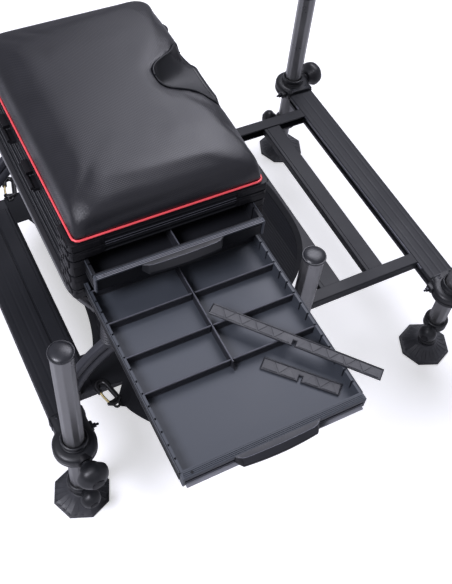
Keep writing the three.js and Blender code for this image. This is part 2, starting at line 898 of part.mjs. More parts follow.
function slat(x, width) {
  const half = railInner + slatEntry;
  const bottom = railBottom + railWall + gap;
  const section = roundedRectangle(x - width / 2, x + width / 2, bottom, bottom + slatHeight, slatCorner);
  return alongY(section, -half, half);
}

const archOuter = railOuter;
const lugOuter = railOuter + lugReach;
const lugTop = beamTop + lugHeight;

// One side of the arch, as a curve from its foot to its flat top
function archCurve(foot, top, bottom, shares) {
  const rise = top - bottom;
  const run = foot - archFlat;
  const from = new THREE.Vector2(foot, bottom);
  const near = new THREE.Vector2(archFlat + run * shares[0], bottom + rise * shares[1]);
  const far = new THREE.Vector2(archFlat + run * shares[2], top);
  const to = new THREE.Vector2(archFlat, top);
  return new THREE.CubicBezierCurve(from, near, far, to).getPoints(archSteps).map((p) => [p.x, p.y]);
}

const flipX = ([x, z]) => [-x, z];

function archOutline() {
  const bottom = beamTop + gap;
  const outer = archCurve(archFootOuter, archTop, bottom, archOuterShares);
  const inner = archCurve(archFootInner, archInnerTop, bottom, archInnerShares);
  return [
    ...outer,
    ...[...outer].reverse().map(flipX),
    ...inner.map(flipX),
    ...[...inner].reverse(),
  ];
}

// The front foot also has a lug that passes outside the sliding rail to the beam below it
function sideArch(side) {
  const inside = archOuter - archThickness;
  const plate = alongY(polygon(archOutline()), inside, archOuter);
  const bridge = block(archFootInner, archFootOuter, inside + gap, lugOuter, beamTop + gap * 2, lugTop);
  const lug = block(archFootInner, archFootOuter, railOuter + gap, lugOuter, midBeamTop + gap, lugTop);
  return mirrored(join(plate, bridge, lug), side);
}

// Half of a hoop's centre line: up from the arch, round the bend and in under the box
function hoopHalf(sign) {
  const level = baseLevel - gap - hoopRadius;
  const x = sign * (halfLength - hoopInset);
  const footX = x - sign * hoopSplay;
  const footY = archOuter - archThickness / 2;
  const bendY = footY - hoopBendRun;
  const bendLevel = baseLevel - hoopBendDrop;
  const foot = new THREE.Vector3(footX, -footY, hoopFootLevel);
  const start = new THREE.Vector3(footX, -footY, bendLevel);
  const first = new THREE.Vector3(footX, -footY, bendLevel + hoopBendPull);
  const second = new THREE.Vector3(x, -bendY - hoopBendPull, level);
  const end = new THREE.Vector3(x, -bendY, level);
  const bend = new THREE.CubicBezierCurve3(start, first, second, end).getPoints(hoopBendSteps);
  return [foot, ...bend];
}

// A round bar through a row of points that lie roughly in one upright plane across the box
function barThrough(points, radius, sides) {
  const rings = points.map((point, i) => {
    const after = points[Math.min(i + 1, points.length - 1)];
    const run = after.clone().sub(points[Math.max(i - 1, 0)]).normalize();
    const sideways = new THREE.Vector3(1, 0, 0).addScaledVector(run, -run.x).normalize();
    const up = run.clone().cross(sideways);
    return Array.from({ length: sides }, (_, k) => {
      const angle = (k / sides) * Math.PI * 2;
      const at = point.clone().addScaledVector(sideways, radius * Math.cos(angle));
      return at.addScaledVector(up, radius * Math.sin(angle)).toArray();
    });
  });
  return loft(rings);
}

function hoop(sign) {
  const half = hoopHalf(sign);
  const across = half.map((p) => new THREE.Vector3(p.x, -p.y, p.z)).reverse();
  const tube = barThrough([...half, ...across], hoopRadius, hoopSides);
  const outer = archCurve(archFootOuter, archTop, beamTop, archOuterShares);
  const lift = gap * 3;
  const under = [...outer, ...[...outer].reverse().map(flipX)].map(([x, z]) => [x, z + lift]);
  return cut(tube, alongY(polygon(under), -lugOuter, lugOuter));
}

// Net

const netHalfWidth = railInner - netSideGap;
const netLevel = beamTop + netClearance + netThickness / 2;
const flapRoot = netHalfWidth - flapOverlap;

function netPoint(u, v) {
  const across = v * 2 - 1;
  const front = netFront - netFrontPull * Math.abs(across) ** 3;
  const rear = netRear - netRearPull * Math.abs(across) ** 3;
  const x = rear + u * (front - rear);
  const slackShare = Math.min(Math.max((x - netRear) / (netSagEnd - netRear), 0), 1);
  const slack = Math.sin(Math.PI * slackShare) * (1 - across * across) ** 2;
  return [x, across * netHalfWidth, netLevel - netSag * slack];
}

function flapPoint(side, u, v) {
  const along = flapRear + u * (flapFront - flapRear);
  const edge = railOuter + flapRailGap;
  const hang = flapTopRows / (flapRows + flapTopRows);
  const swell = Math.sin(Math.PI * u);
  if (v <= hang) return [along, side * (flapRoot + (edge - flapRoot) * (v / hang)), netLevel];
  const t = (v - hang) / (1 - hang);
  const x = along - flapLean * (1 - u * 2) * t;
  const out = (flapOut + flapOutMiddle * swell) * Math.sin((t * Math.PI) / 2);
  const drop = (flapDrop + flapDropMiddle * swell ** flapSwellPower) * t ** flapHangPower;
  return [x, side * (edge + out), netLevel - drop];
}

function net() {
  const flap = (side) => {
    const at = side > 0 ? (u, v) => flapPoint(1, u, v) : (u, v) => flapPoint(-1, u, 1 - v);
    return sheet(at, flapColumns, flapRows + flapTopRows, netThickness);
  };
  return join(sheet(netPoint, netColumns, netRows, netThickness), flap(1), flap(-1));
}

function snapLink(side) {
  const halfX = linkLength / 2 - linkRadius;
  const halfY = linkWidth / 2 - linkRadius;
  const loop = roundedLoop(halfX, halfY, halfY - gap, cornerSteps);
  const bar = loopTube(loop, railTop + gap + linkRadius, linkRadius, linkSides);
  bar.rotateZ(THREE.MathUtils.degToRad(side * linkTurn));
  return bar.translate(rearBeamX + linkOffset, side * (railOuter + linkReach), 0);
}

// Legs: a tube with its cap, the clamp it slides in, the clamp's knob and the foot below

const legKinds = [
  {
    name: "rear",
    x: rearBeamX + rearLegShift,
    y: rearBeamHalf + rearLegReach,
    top: rearLegTop,
    beamX: rearBeamX,
    level: beamTop,
    end: rearBeamHalf,
    knobTurn: rearKnobTurn,
    lock: rearLockLevel,
    lockTurn: rearLockTurn,
  },
  {
    name: "mid",
    x: midBeamX + midLegShift,
    y: midBeamHalf + midLegReach,
    top: midLegTop,
    beamX: midBeamX,
    level: midBeamTop,
    end: midBeamHalf,
    knobTurn: midKnobTurn,
    lock: rearLockLevel,
    lockTurn: rearLockTurn,
  },
  {
    name: "front",
    x: frontBeamX + frontLegShift,
    y: frontBeamHalf + frontLegReach,
    top: frontLegTop,
    beamX: frontBeamX,
    level: beamTop,
    end: frontBeamHalf,
    knobTurn: frontKnobTurn,
    lock: frontLockLevel,
    lockTurn: frontLockTurn,
  },
];

const hands = [["right", -1], ["left", 1]];

const stations = legKinds.flatMap((kind) => hands.map(([hand, side]) => ({
  ...kind,
  name: `${kind.name}_${hand}`,
  y: side * kind.y,
  end: side * kind.end,
  knobTurn: side * kind.knobTurn,
  lockTurn: side * kind.lockTurn,
})));

function pear(radius, length, sides) {
  const points = knobShares.map(([along, wide]) => [wide * radius, along * length]);
  return turned([[0, 0], ...points, [0, length]], sides);
}

function legTube(station) {
  const bottom = station.lock + lockCollarHeight / 2;
  const tube = cylinder(legRadius, bottom, station.top - capHeight);
  const shoulder = [capRadius * capShoulderShare, capHeight + capDome * capShoulderShare];
  const capLine = [[0, 0], [capRadius, 0], [capRadius, capHeight], shoulder, [0, capHeight + capDome]];
  const cap = turned(capLine, roundSteps).translate(0, 0, station.top - capHeight - capDome);
  const collarTop = station.lock + lockCollarHeight;
  const collar = cut(
    cylinder(lockCollarRadius, station.lock, collarTop),
    cylinder(spigotRadius + gap, station.lock - overrun, collarTop + overrun),
  );
  const knob = pear(lockKnobRadius, lockKnobLength, barSides);
  knob.rotateY(Math.PI / 2).translate(lockCollarRadius - lockWall, 0, 0);
  knob.rotateZ(THREE.MathUtils.degToRad(station.lockTurn));
  knob.translate(0, 0, station.lock + lockCollarHeight / 2);
  const bore = cylinder(spigotRadius + gap, station.lock - overrun * 2, collarTop + stemDepth);
  return cut(join(tube, cap, collar, knob), bore);
}

function legClamp(station) {
  const top = station.level + clampRise;
  const bottom = top - clampHeight;
  const side = Math.sign(station.y);
  const collar = cylinder(collarRadius, bottom, top);
  const half = clampWidth / 2;
  const shift = station.beamX - station.x;
  const inner = station.end - station.y + side * gap;
  const arm = block(shift - half, shift + half, Math.min(inner, 0), Math.max(inner, 0), bottom, top);
  const lip = cylinder(legBore + clampLip, bottom, top + clampLipHeight);
  const boss = cylinder(bossRadius, collarRadius - overrun, collarRadius + bossLength, barSides);
  boss.rotateY(Math.PI / 2).rotateZ(THREE.MathUtils.degToRad(station.knobTurn));
  boss.translate(0, 0, (top + bottom) / 2);
  const bore = cylinder(legBore, bottom - overrun, top + clampLipHeight + overrun);
  const beyond = inner - side * collarRadius;
  const [near, far] = [Math.min(inner, beyond), Math.max(inner, beyond)];
  const beamEnd = block(-half, half, near, far, bottom - overrun, top + overrun);
  return cut(join(collar, arm, lip, boss), bore, beamEnd);
}

function foot(station) {
  const hubTop = footRim + footRise;
  const rim = cylinder(footRadius, 0, footRim, footSides);
  const dish = cylinder(footRadius, footRim, hubTop, footSides, footHubRadius);
  const spigotTop = station.lock + lockCollarHeight + stemDepth - gap;
  const spigot = cylinder(spigotRadius, hubTop - overrun, spigotTop, spigotSides);
  return join(join(rim, dish).rotateZ(Math.PI / footSides), spigot);
}

// The whole object

const model = new THREE.Group();

const add = (name, geometry, finish) => model.add(mesh(name, geometry, finish));

add("base_frame", baseFrame(), "profile");
add("lower_case", lowerCase(), "profile");
add("upper_case", upperCase(), "profile");
add("tray_frame", trayFrame(), "profile");
add("lid_frame", lidFrame(), "profile");
add("seat_pad", seatPad(), "vinyl");
add("seat_piping", pipingLoop(), "piping");
add("pole_rest", poleRest(), "softGrey");

const upperLevels = [upperBottom, upperTop];
const upperFront = drawerFront(upperHalfWidth, upperReach, upperFrontThickness, ...upperLevels);
add("upper_drawer_tray", drawerTray(upperHalfWidth, upperTrayFront, ...upperLevels), "drawer");
add("upper_drawer_front", upperFront, "moulded");
add("upper_drawer_divider", upperDivider(), "drawerDark");

const lowerLevels = [lowerBottom, lowerTop];
const lowerFront = drawerFront(lowerHalfWidth, lowerReach, lowerFrontThickness, ...lowerLevels);
add("lower_drawer_tray", drawerTray(lowerHalfWidth, lowerTrayFront, ...lowerLevels), "drawer");
add("lower_drawer_front", lowerFront, "moulded");
add("centre_divider", centreDivider(), "drawerDark");
for (let row = 0; row < dividerRows; row += 1) {
  add(`cross_divider_${row + 1}`, crossDivider(row), "drawerDark");
}
const longSpare = flatDivider(spareStartShares, spareEndShares, trayLength, spareWidth, lowerTop + gap);
const shortSpareEnds = [shortSpareStartShares, shortSpareEndShares];
const shortSpare = flatDivider(...shortSpareEnds, frontSpace, shortSpareWidth, dividerBottom);
add("spare_divider_long", longSpare, "drawerDark");
add("spare_divider_short", shortSpare, "drawerDark");

add("rear_beam", rearBeam(), "frame");
add("mid_beam", midBeam(), "frame");
add("front_beam", beam(frontBeamX, beamTop, frontBeamHalf), "frame");
add("footplate_crossbar", slat(crossbarX, crossbarWidth), "frame");
add("footplate_slat", slat(midSlatX, midSlatWidth), "frame");
for (const [name, side] of hands) {
  add(`side_rail_${name}`, fixedRail(side), "frame");
  add(`footplate_rail_${name}`, slidingRail(side), "frame");
  add(`side_arch_${name}`, sideArch(side), "frame");
  add(`snap_link_${name}`, snapLink(side), "link");
}
add("hoop_rear", hoop(-1), "frame");
add("hoop_front", hoop(1), "frame");
add("under_net", net(), "net");

for (const station of stations) {
  const place = new THREE.Group();
  place.position.set(station.x, station.y, 0);
  place.add(mesh(`leg_${station.name}`, legTube(station), "leg"));
  place.add(mesh(`leg_clamp_${station.name}`, legClamp(station), "moulded"));
  place.add(mesh(`foot_${station.name}`, foot(station), "foot"));
  const knob = mesh(`clamp_knob_${station.name}`, pear(knobRadius, knobLength, knobSides), "moulded");
  const turn = THREE.MathUtils.degToRad(station.knobTurn);
  const reach = collarRadius + bossLength + gap;
  const level = station.level + clampRise - clampHeight / 2;
  knob.position.set(reach * Math.cos(turn), reach * Math.sin(turn), level);
  knob.rotation.set(0, Math.PI / 2, turn, "ZYX");
  place.add(knob);
  model.add(place);
}

// The origin lies on the ground under the middle of the whole object
model.updateMatrixWorld(true);
const bounds = new THREE.Box3().setFromObject(model, true);
const centre = bounds.getCenter(new THREE.Vector3());
model.position.set(-centre.x, -centre.y, -bounds.min.z);

export default model;
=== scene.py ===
"""Fishing seat box: a padded lid over two drawers, on a six-legged frame with a sliding footplate."""
import math

import bmesh
import bpy
from bpy.props import FloatProperty, FloatVectorProperty, PointerProperty
from mathutils import Matrix, Vector, noise
from mathutils.bvhtree import BVHTree


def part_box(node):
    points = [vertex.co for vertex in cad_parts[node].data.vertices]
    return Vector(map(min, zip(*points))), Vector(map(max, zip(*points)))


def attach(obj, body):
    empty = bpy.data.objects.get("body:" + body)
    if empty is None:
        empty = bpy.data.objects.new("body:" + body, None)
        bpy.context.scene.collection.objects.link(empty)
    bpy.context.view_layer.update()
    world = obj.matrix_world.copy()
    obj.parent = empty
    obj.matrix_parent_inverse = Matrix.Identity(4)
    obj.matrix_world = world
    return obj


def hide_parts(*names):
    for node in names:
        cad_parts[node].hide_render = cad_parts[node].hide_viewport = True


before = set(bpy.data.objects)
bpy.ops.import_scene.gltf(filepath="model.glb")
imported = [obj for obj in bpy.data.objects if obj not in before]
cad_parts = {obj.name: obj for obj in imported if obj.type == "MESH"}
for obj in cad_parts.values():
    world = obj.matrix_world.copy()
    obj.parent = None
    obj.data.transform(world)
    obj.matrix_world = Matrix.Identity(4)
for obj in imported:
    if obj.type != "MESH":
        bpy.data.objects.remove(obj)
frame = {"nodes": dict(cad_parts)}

bl_info = {
    "name": "Fishing seat box",
    "version": (1, 0, 0),
    "blender": (4, 5, 0),
    "location": "3D View > Sidebar > Seat box",
    "description": "Makes the visible pieces of a fishing seat box on its packed frame",
    "category": "Object",
}

MM = 0.001
SHARP = math.radians(38)
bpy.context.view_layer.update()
base_low, base_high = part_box("base_frame")
# The sizes below are in millimetres about the middle of the box, at ground level
CENTRE = Vector(((base_low.x + base_high.x) / 2, (base_low.y + base_high.y) / 2, 0))
# Materials and geometry trees by their short names, filled by the finishes operator
finishes, trees = {}, {}


def linear(hex_colour):
    """Linear colour of an sRGB hex value."""
    values = [int(hex_colour[i : i + 2], 16) / 255 for i in (0, 2, 4)]
    return [v / 12.92 if v <= 0.04045 else ((v + 0.055) / 1.055) ** 2.4 for v in values] + [1.0]


def box_mm(node):
    """Lowest and highest corner of a CAD node, in millimetres about the middle of the box."""
    low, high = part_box(node)
    return (low - CENTRE) / MM, (high - CENTRE) / MM


# Numbers and curves


def clamped(value):
    """The value, held between 0 and 1."""
    return min(max(value, 0), 1)


def smooth_point(a, b, c, d, t):
    """A point between b and c on a smooth line through all four."""
    return 0.5 * (2 * b + (c - a) * t + (2 * a - 5 * b + 4 * c - d) * t * t + (3 * b - a - 3 * c + d) * t**3)


def bent_point(a, b, c, d, t):
    """A point on the curve from a to d that b and c pull."""
    u = 1 - t
    return a * u**3 + b * 3 * u * u * t + c * 3 * u * t * t + d * t**3


# Meshes


def linked(name, data):
    """An object of a mesh, a lamp or a camera, in the scene."""
    piece = bpy.data.objects.new(name, data)
    bpy.context.scene.collection.objects.link(piece)
    return piece


def finished(piece, *keys):
    """Gives the piece its finishes, in this order."""
    for key in keys:
        piece.data.materials.append(finishes[key])
    return piece


def solid(name, points, faces, closed=True):
    """An object made of points in millimetres, merged and turned outwards."""
    mesh = bpy.data.meshes.new(name)
    mesh.from_pydata([Vector(p) * MM + CENTRE for p in points], [], faces)
    made = bmesh.new()
    made.from_mesh(mesh)
    bmesh.ops.remove_doubles(made, verts=made.verts, dist=1e-6)
    if closed:
        bmesh.ops.recalc_face_normals(made, faces=made.faces)
    made.to_mesh(mesh)
    made.free()
    return linked(name, mesh)


def bake(piece):
    """Turns the piece with its modifiers into a plain mesh."""
    graph = bpy.context.evaluated_depsgraph_get()
    mesh = bpy.data.meshes.new_from_object(piece.evaluated_get(graph))
    piece.modifiers.clear()
    piece.data = mesh
    return piece


def bevelled(piece, width, segments=2, angle=32):
    """Rounds the piece's edges by a width in millimetres."""
    edge = piece.modifiers.new("edges", "BEVEL")
    edge.width = width * MM
    edge.segments = segments
    edge.limit_method = "ANGLE"
    edge.angle_limit = math.radians(angle)
    return bake(piece)


def dressed(node, width, segments=2):
    """A copy of a CAD node with merged faces and rounded edges."""
    mesh = frame["nodes"][node].data.copy()
    mesh.materials.clear()
    made = bmesh.new()
    made.from_mesh(mesh)
    bmesh.ops.remove_doubles(made, verts=made.verts, dist=2e-6)
    bmesh.ops.dissolve_limit(made, angle_limit=math.radians(0.6), verts=made.verts, edges=made.edges)
    made.to_mesh(mesh)
    made.free()
    return bevelled(linked(node + "_form", mesh), width, segments)


def merged(name, parts):
    """One object out of (object, finish) pairs. Without a finish an object keeps its own."""
    made = bmesh.new()
    materials = []
    for part, key in parts:
        own = [finishes[key]] if key else list(part.data.materials)
        places = []
        for each in own:
            if each not in materials:
                materials.append(each)
            places.append(materials.index(each))
        before = len(made.faces)
        made.from_mesh(part.data)
        made.faces.ensure_lookup_table()
        for face in made.faces[before:]:
            face.material_index = places[0 if key else min(face.material_index, len(places) - 1)]
        mesh = part.data
        bpy.data.objects.remove(part)
        bpy.data.meshes.remove(mesh)
    mesh = bpy.data.meshes.new(name)
    made.to_mesh(mesh)
    made.free()
    for material in materials:
        mesh.materials.append(material)
    return linked(name, mesh)


def completed(piece, body, slot, *nodes, sharp=SHARP, weighted=True):
    """Shades the piece, lets it ride on its body and puts it in place of its CAD nodes."""
    mesh = piece.data
    mesh.polygons.foreach_set("use_smooth", [True] * len(mesh.polygons))
    mesh.set_sharp_from_angle(angle=sharp)
    if weighted:
        piece.modifiers.new("normals", "WEIGHTED_NORMAL").keep_sharp = True
        bake(piece)
    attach(piece, body)
    if nodes:
        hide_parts(*nodes)
    return piece


def rounded(corners, steps=4):
    """Outline whose corners, given as (u, v, radius), are rounded."""
    outline = []
    for i, (u, v, radius) in enumerate(corners):
        here = Vector((u, v))
        if radius <= 0:
            outline.append((u, v))
            continue
        before = Vector(corners[i - 1][:2]) - here
        after = Vector(corners[(i + 1) % len(corners)][:2]) - here
        angle = before.angle(after)
        reach = min(radius / math.tan(angle / 2), before.length * 0.49, after.length * 0.49)
        radius = reach * math.tan(angle / 2)
        first = here + before.normalized() * reach
        last = here + after.normalized() * reach
        middle = here + (before.normalized() + after.normalized()).normalized() * radius / math.sin(angle / 2)
        a, b = first - middle, last - middle
        turn = a.angle_signed(b)
        for k in range(steps + 1):
            point = Matrix.Rotation(-turn * k / steps, 2) @ a + middle
            outline.append((point.x, point.y))
    return outline


def extruded(name, outline, start, end, axis):
    """An outline run along an axis: drawn in Y and Z for x, in X and Z for y, in X and Y for z."""
    at = {"x": lambda u, v, w: (w, u, v), "y": lambda u, v, w: (u, w, v), "z": lambda u, v, w: (u, v, w)}[axis]
    count = len(outline)
    points = [at(u, v, w) for w in (start, end) for u, v in outline]
    faces = [list(range(count)), list(range(count, 2 * count))]
    faces += [[i, (i + 1) % count, count + (i + 1) % count, count + i] for i in range(count)]
    return solid(name, points, faces)


def slab(name, x0, x1, y0, y1, z0, z1, edge=0.6, segments=2):
    """A block with rounded edges. Its ends along X and Y come in any order."""
    (x0, x1), (y0, y1) = sorted((x0, x1)), sorted((y0, y1))
    outline = [(x0, y0), (x1, y0), (x1, y1), (x0, y1)]
    return bevelled(extruded(name, outline, z0, z1, "z"), edge, segments)


def lofted(name, rings, closed=False, caps=True):
    """Skin over rings of points. A closed row of rings meets itself."""
    count = len(rings[0])
    points = [p for ring in rings for p in ring]
    faces = []
    for r in range(len(rings) if closed else len(rings) - 1):
        a, b = r * count, ((r + 1) % len(rings)) * count
        faces += [[a + i, a + (i + 1) % count, b + (i + 1) % count, b + i] for i in range(count)]
    if caps and not closed:
        faces += [list(range(count)), list(range((len(rings) - 1) * count, len(rings) * count))]
    return solid(name, points, faces)


def swept(name, path, section, side=(1, 0, 0), closed=False):
    """A section drawn across a path. section gives (sideways, up) offsets for a share of the path."""
    points = [Vector(p) for p in path]
    rings = []
    for i, point in enumerate(points):
        if closed:
            run = points[(i + 1) % len(points)] - points[i - 1]
        else:
            run = points[min(i + 1, len(points) - 1)] - points[max(i - 1, 0)]
        run.normalize()
        across = (Vector(side) - run * run.dot(Vector(side))).normalized()
        up = run.cross(across)
        share = i / (len(points) if closed else len(points) - 1)
        rings.append([point + across * u + up * v for u, v in section(share)])
    return lofted(name, rings, closed)


def circle(radius, sides=16, squash=1.0):
    """Points round a circle, or an oval flatter by squash."""
    angles = [2 * math.pi * k / sides for k in range(sides)]
    return [(radius * math.cos(a), radius * squash * math.sin(a)) for a in angles]


def turned(name, outline, sides, at, along=(0, 0, 1), shape=None, caps=False):
    """A form turned about an axis from (radius, height) points. shape scales a radius by its angle and height."""
    axis = Vector(along).normalized()
    upright = abs(axis.z) > 0.9
    across = (Vector((1, 0, 0)) if upright else Vector((0, 0, 1)).cross(axis)).normalized()
    other = axis.cross(across)
    rings = []
    for radius, height in outline:
        ring = []
        for k in range(sides):
            angle = 2 * math.pi * k / sides
            reach = radius * (shape(angle, height) if shape else 1)
            ring.append(Vector(at) + axis * height + across * reach * math.cos(angle) + other * reach * math.sin(angle))
        rings.append(ring)
    return lofted(name, rings, caps=caps)


# Geometry node trees, for what repeats or follows a path


def add(tree, kind, inputs=None, **settings):
    """Adds a node with its settings, and sets or links its inputs."""
    made = tree.nodes.new(kind)
    for key, value in settings.items():
        setattr(made, key, value)
    for key, value in (inputs or {}).items():
        if isinstance(value, bpy.types.NodeSocket):
            tree.links.new(value, made.inputs[key])
        else:
            made.inputs[key].default_value = value
    return made


def new_tree(name, sockets):
    """An empty geometry tree with named inputs. sockets gives (name, kind) of each."""
    tree = bpy.data.node_groups.new(name, "GeometryNodeTree")
    tree.interface.new_socket("Geometry", in_out="INPUT", socket_type="NodeSocketGeometry")
    for label, kind in sockets:
        tree.interface.new_socket(label, in_out="INPUT", socket_type=kind)
    tree.interface.new_socket("Geometry", in_out="OUTPUT", socket_type="NodeSocketGeometry")
    return tree, add(tree, "NodeGroupInput"), add(tree, "NodeGroupOutput")


def ended(tree, given, result, geometry):
    """Ends a tree: makes its copies real and gives them the tree's material."""
    real = add(tree, "GeometryNodeRealizeInstances", {"Geometry": geometry})
    inputs = {"Geometry": real.outputs["Geometry"], "Material": given.outputs["Material"]}
    painted = add(tree, "GeometryNodeSetMaterial", inputs)
    tree.links.new(painted.outputs["Geometry"], result.inputs["Geometry"])
    return tree


def ribs_tree():
    """Round ribs along every line of the host mesh."""
    tree, given, result = new_tree(
        "ribs_on_lines", [("Radius", "NodeSocketFloat"), ("Sides", "NodeSocketInt"), ("Material", "NodeSocketMaterial")]
    )
    lines = add(tree, "GeometryNodeMeshToCurve", {"Mesh": given.outputs["Geometry"]})
    inputs = {"Resolution": given.outputs["Sides"], "Radius": given.outputs["Radius"]}
    section = add(tree, "GeometryNodeCurvePrimitiveCircle", inputs)
    inputs = {"Curve": lines.outputs["Curve"], "Profile Curve": section.outputs["Curve"], "Fill Caps": True}
    bars = add(tree, "GeometryNodeCurveToMesh", inputs)
    return ended(tree, given, result, bars.outputs["Mesh"])


def copies_tree():
    """A copy of one object on every point of the host mesh, turned by the point's own angles."""
    sockets = [("Copy", "NodeSocketObject"), ("Material", "NodeSocketMaterial")]
    tree, given, result = new_tree("copies_on_points", sockets)
    copy = add(tree, "GeometryNodeObjectInfo", {"Object": given.outputs["Copy"]})
    angles = add(tree, "GeometryNodeInputNamedAttribute", {"Name": "turn"}, data_type="FLOAT_VECTOR")
    turn = add(tree, "FunctionNodeEulerToRotation", {"Euler": angles.outputs["Attribute"]})
    placed = add(
        tree,
        "GeometryNodeInstanceOnPoints",
        {
            "Points": given.outputs["Geometry"],
            "Instance": copy.outputs["Geometry"],
            "Rotation": turn.outputs["Rotation"],
        },
    )
    return ended(tree, given, result, placed.outputs["Instances"])


def grown(host, tree, **values):
    """Runs a geometry tree on the host with its named inputs set, and bakes the result."""
    growth = host.modifiers.new("growth", "NODES")
    growth.node_group = tree
    for item in tree.interface.items_tree:
        if item.in_out == "INPUT" and item.name in values:
            growth[item.identifier] = values[item.name]
    return bake(host)


def ribs(name, lines, radius, key, sides=8):
    """Ribs along lines of points in millimetres."""
    points, edges = [], []
    for line in lines:
        start = len(points)
        points += line
        edges += [(start + i, start + i + 1) for i in range(len(line) - 1)]
    mesh = bpy.data.meshes.new(name)
    mesh.from_pydata([Vector(p) * MM + CENTRE for p in points], edges, [])
    return grown(linked(name, mesh), trees["ribs"], Radius=radius * MM, Sides=sides, Material=finishes[key])


def copies(name, template, places, key):
    """Copies of a template, drawn in millimetres about zero, at (point, turn) places."""
    mesh = bpy.data.meshes.new(name)
    mesh.from_pydata([Vector(p) * MM + CENTRE for p, _ in places], [], [])
    turn = mesh.attributes.new("turn", "FLOAT_VECTOR", "POINT")
    turn.data.foreach_set("vector", [angle for _, angles in places for angle in angles])
    made = grown(linked(name, mesh), trees["copies"], Copy=template, Material=finishes[key])
    bpy.data.objects.remove(template)
    return made


def at_zero(piece):
    """Moves a piece that was drawn about zero to the scene's own zero, for use as a template."""
    piece.data.transform(Matrix.Translation(-CENTRE))
    return piece


def screw_head(radius, height):
    """A domed screw head with a hexagonal socket, standing on zero and pointing up."""
    outline = [
        (radius, 0), (radius, height * 0.45), (radius * 0.86, height * 0.85), (radius * 0.66, height),
        (radius * 0.5, height), (radius * 0.5, height * 0.4), (0, height * 0.4),
    ]
    return at_zero(turned("screw", outline, 12, (0, 0, 0)))


# Finishes


def new_finish(
    name, colour, roughness, metallic, specular, mottle, mottle_mm, grain, grain_mm, stretch=(1, 1, 1), uneven=0.06,
    coat=0.0
):
    """A surface with soft colour drift, uneven roughness and a fine grain, all set in millimetres.

    Returns the material, its tree, its shader and its grain's bump node, so that a finish can add to them."""
    material = bpy.data.materials.new(name)
    material.use_nodes = True
    tree = material.node_tree
    shader = tree.nodes["Principled BSDF"]
    shader.inputs["Metallic"].default_value = metallic
    shader.inputs["Specular IOR Level"].default_value = specular
    if coat:
        shader.inputs["Coat Weight"].default_value = coat
        shader.inputs["Coat Roughness"].default_value = 0.12
    place = add(tree, "ShaderNodeTexCoord")
    inputs = {"Vector": place.outputs["Object"], "Scale": 1000 / mottle_mm, "Detail": 3.0, "Roughness": 0.6}
    drift = add(tree, "ShaderNodeTexNoise", inputs)
    shade = [c * (1 - mottle) for c in colour[:3]] + [1.0]
    light = [min(c * (1 + mottle), 1.0) for c in colour[:3]] + [1.0]
    ramp = add(tree, "ShaderNodeValToRGB", {"Fac": drift.outputs["Fac"]})
    for stop, position, tone in zip(ramp.color_ramp.elements, (0.3, 0.7), (shade, light)):
        stop.position, stop.color = position, tone
    tree.links.new(ramp.outputs["Color"], shader.inputs["Base Color"])
    least, most = roughness - uneven, roughness + uneven
    inputs = {"Value": drift.outputs["Fac"], "From Min": 0.3, "From Max": 0.7, "To Min": least, "To Max": most}
    patch = add(tree, "ShaderNodeMapRange", inputs)
    tree.links.new(patch.outputs["Result"], shader.inputs["Roughness"])
    along = add(tree, "ShaderNodeMapping", {"Vector": place.outputs["Object"], "Scale": stretch})
    inputs = {"Vector": along.outputs["Vector"], "Scale": 1000 / grain_mm, "Detail": 2.0, "Roughness": 0.55}
    grit = add(tree, "ShaderNodeTexNoise", inputs)
    bump = add(tree, "ShaderNodeBump", {"Height": grit.outputs["Fac"], "Strength": grain, "Distance": 0.0004})
    tree.links.new(bump.outputs["Normal"], shader.inputs["Normal"])
    return material, tree, shader, bump


# Bands that a wave texture draws per unit at scale 1
WAVE_RATE = 3.18


def bands(tree, flat, pitch, direction="X", **settings):
    """Soft bands across a flat map, a pitch in millimetres apart."""
    inputs = {"Vector": flat, "Scale": 1000 / pitch / WAVE_RATE, **settings}
    return add(tree, "ShaderNodeTexWave", inputs, bands_direction=direction, wave_profile="SIN").outputs["Fac"]


def relief(tree, shader, grain, rows, strength, distance):
    """Presses the product of two rows of bands into a surface, over its grain. Returns the product."""
    dots = add(tree, "ShaderNodeMath", {0: rows[0], 1: rows[1]}, operation="MULTIPLY").outputs["Value"]
    inputs = {"Height": dots, "Strength": strength, "Distance": distance, "Normal": grain.outputs["Normal"]}
    pressed = add(tree, "ShaderNodeBump", inputs)
    tree.links.new(pressed.outputs["Normal"], shader.inputs["Normal"])
    return dots


def vinyl(colour):
    """Upholstery vinyl, embossed with a fine diagonal weave: dull satin, with the weave as rows of dots."""
    material, tree, shader, grain = new_finish("embossed_vinyl", colour, 0.36, 0.0, 0.42, 0.08, 60, 0.08, 1.2)
    # Rows 3 mm apart, laid both ways at 45 degrees: coarser than the real ones so that they show
    cloth = add(tree, "ShaderNodeUVMap", uv_map="weave")
    rows = []
    for turn in (math.radians(45), math.radians(-45)):
        laid = add(tree, "ShaderNodeMapping", {"Vector": cloth.outputs["UV"], "Rotation": (0, 0, turn)})
        rows.append(bands(tree, laid.outputs["Vector"], 3.0, Distortion=0.0))
    relief(tree, shader, grain, rows, 0.34, 0.0006)
    return material


def netting(colour):
    """Knitted polyester net: dull, with open columns that let a little light through."""
    material, tree, shader, grain = new_finish("knitted_net", colour, 0.85, 0.0, 0.15, 0.25, 90, 0.3, 2.0)
    cloth = add(tree, "ShaderNodeUVMap", uv_map="weave")
    # Columns 5 mm apart and rows 3 mm apart
    pitches = (("X", 5.0), ("Y", 3.0))
    waves = [bands(tree, cloth.outputs["UV"], pitch, axis, Distortion=1.2, Detail=1.0) for axis, pitch in pitches]
    holes = relief(tree, shader, grain, waves, 0.6, 0.0009)
    inputs = {"Value": holes, "From Min": 0.6, "From Max": 0.8, "To Min": 1.0, "To Max": 0.95}
    see = add(tree, "ShaderNodeMapRange", inputs)
    tree.links.new(see.outputs["Result"], shader.inputs["Alpha"])
    return material


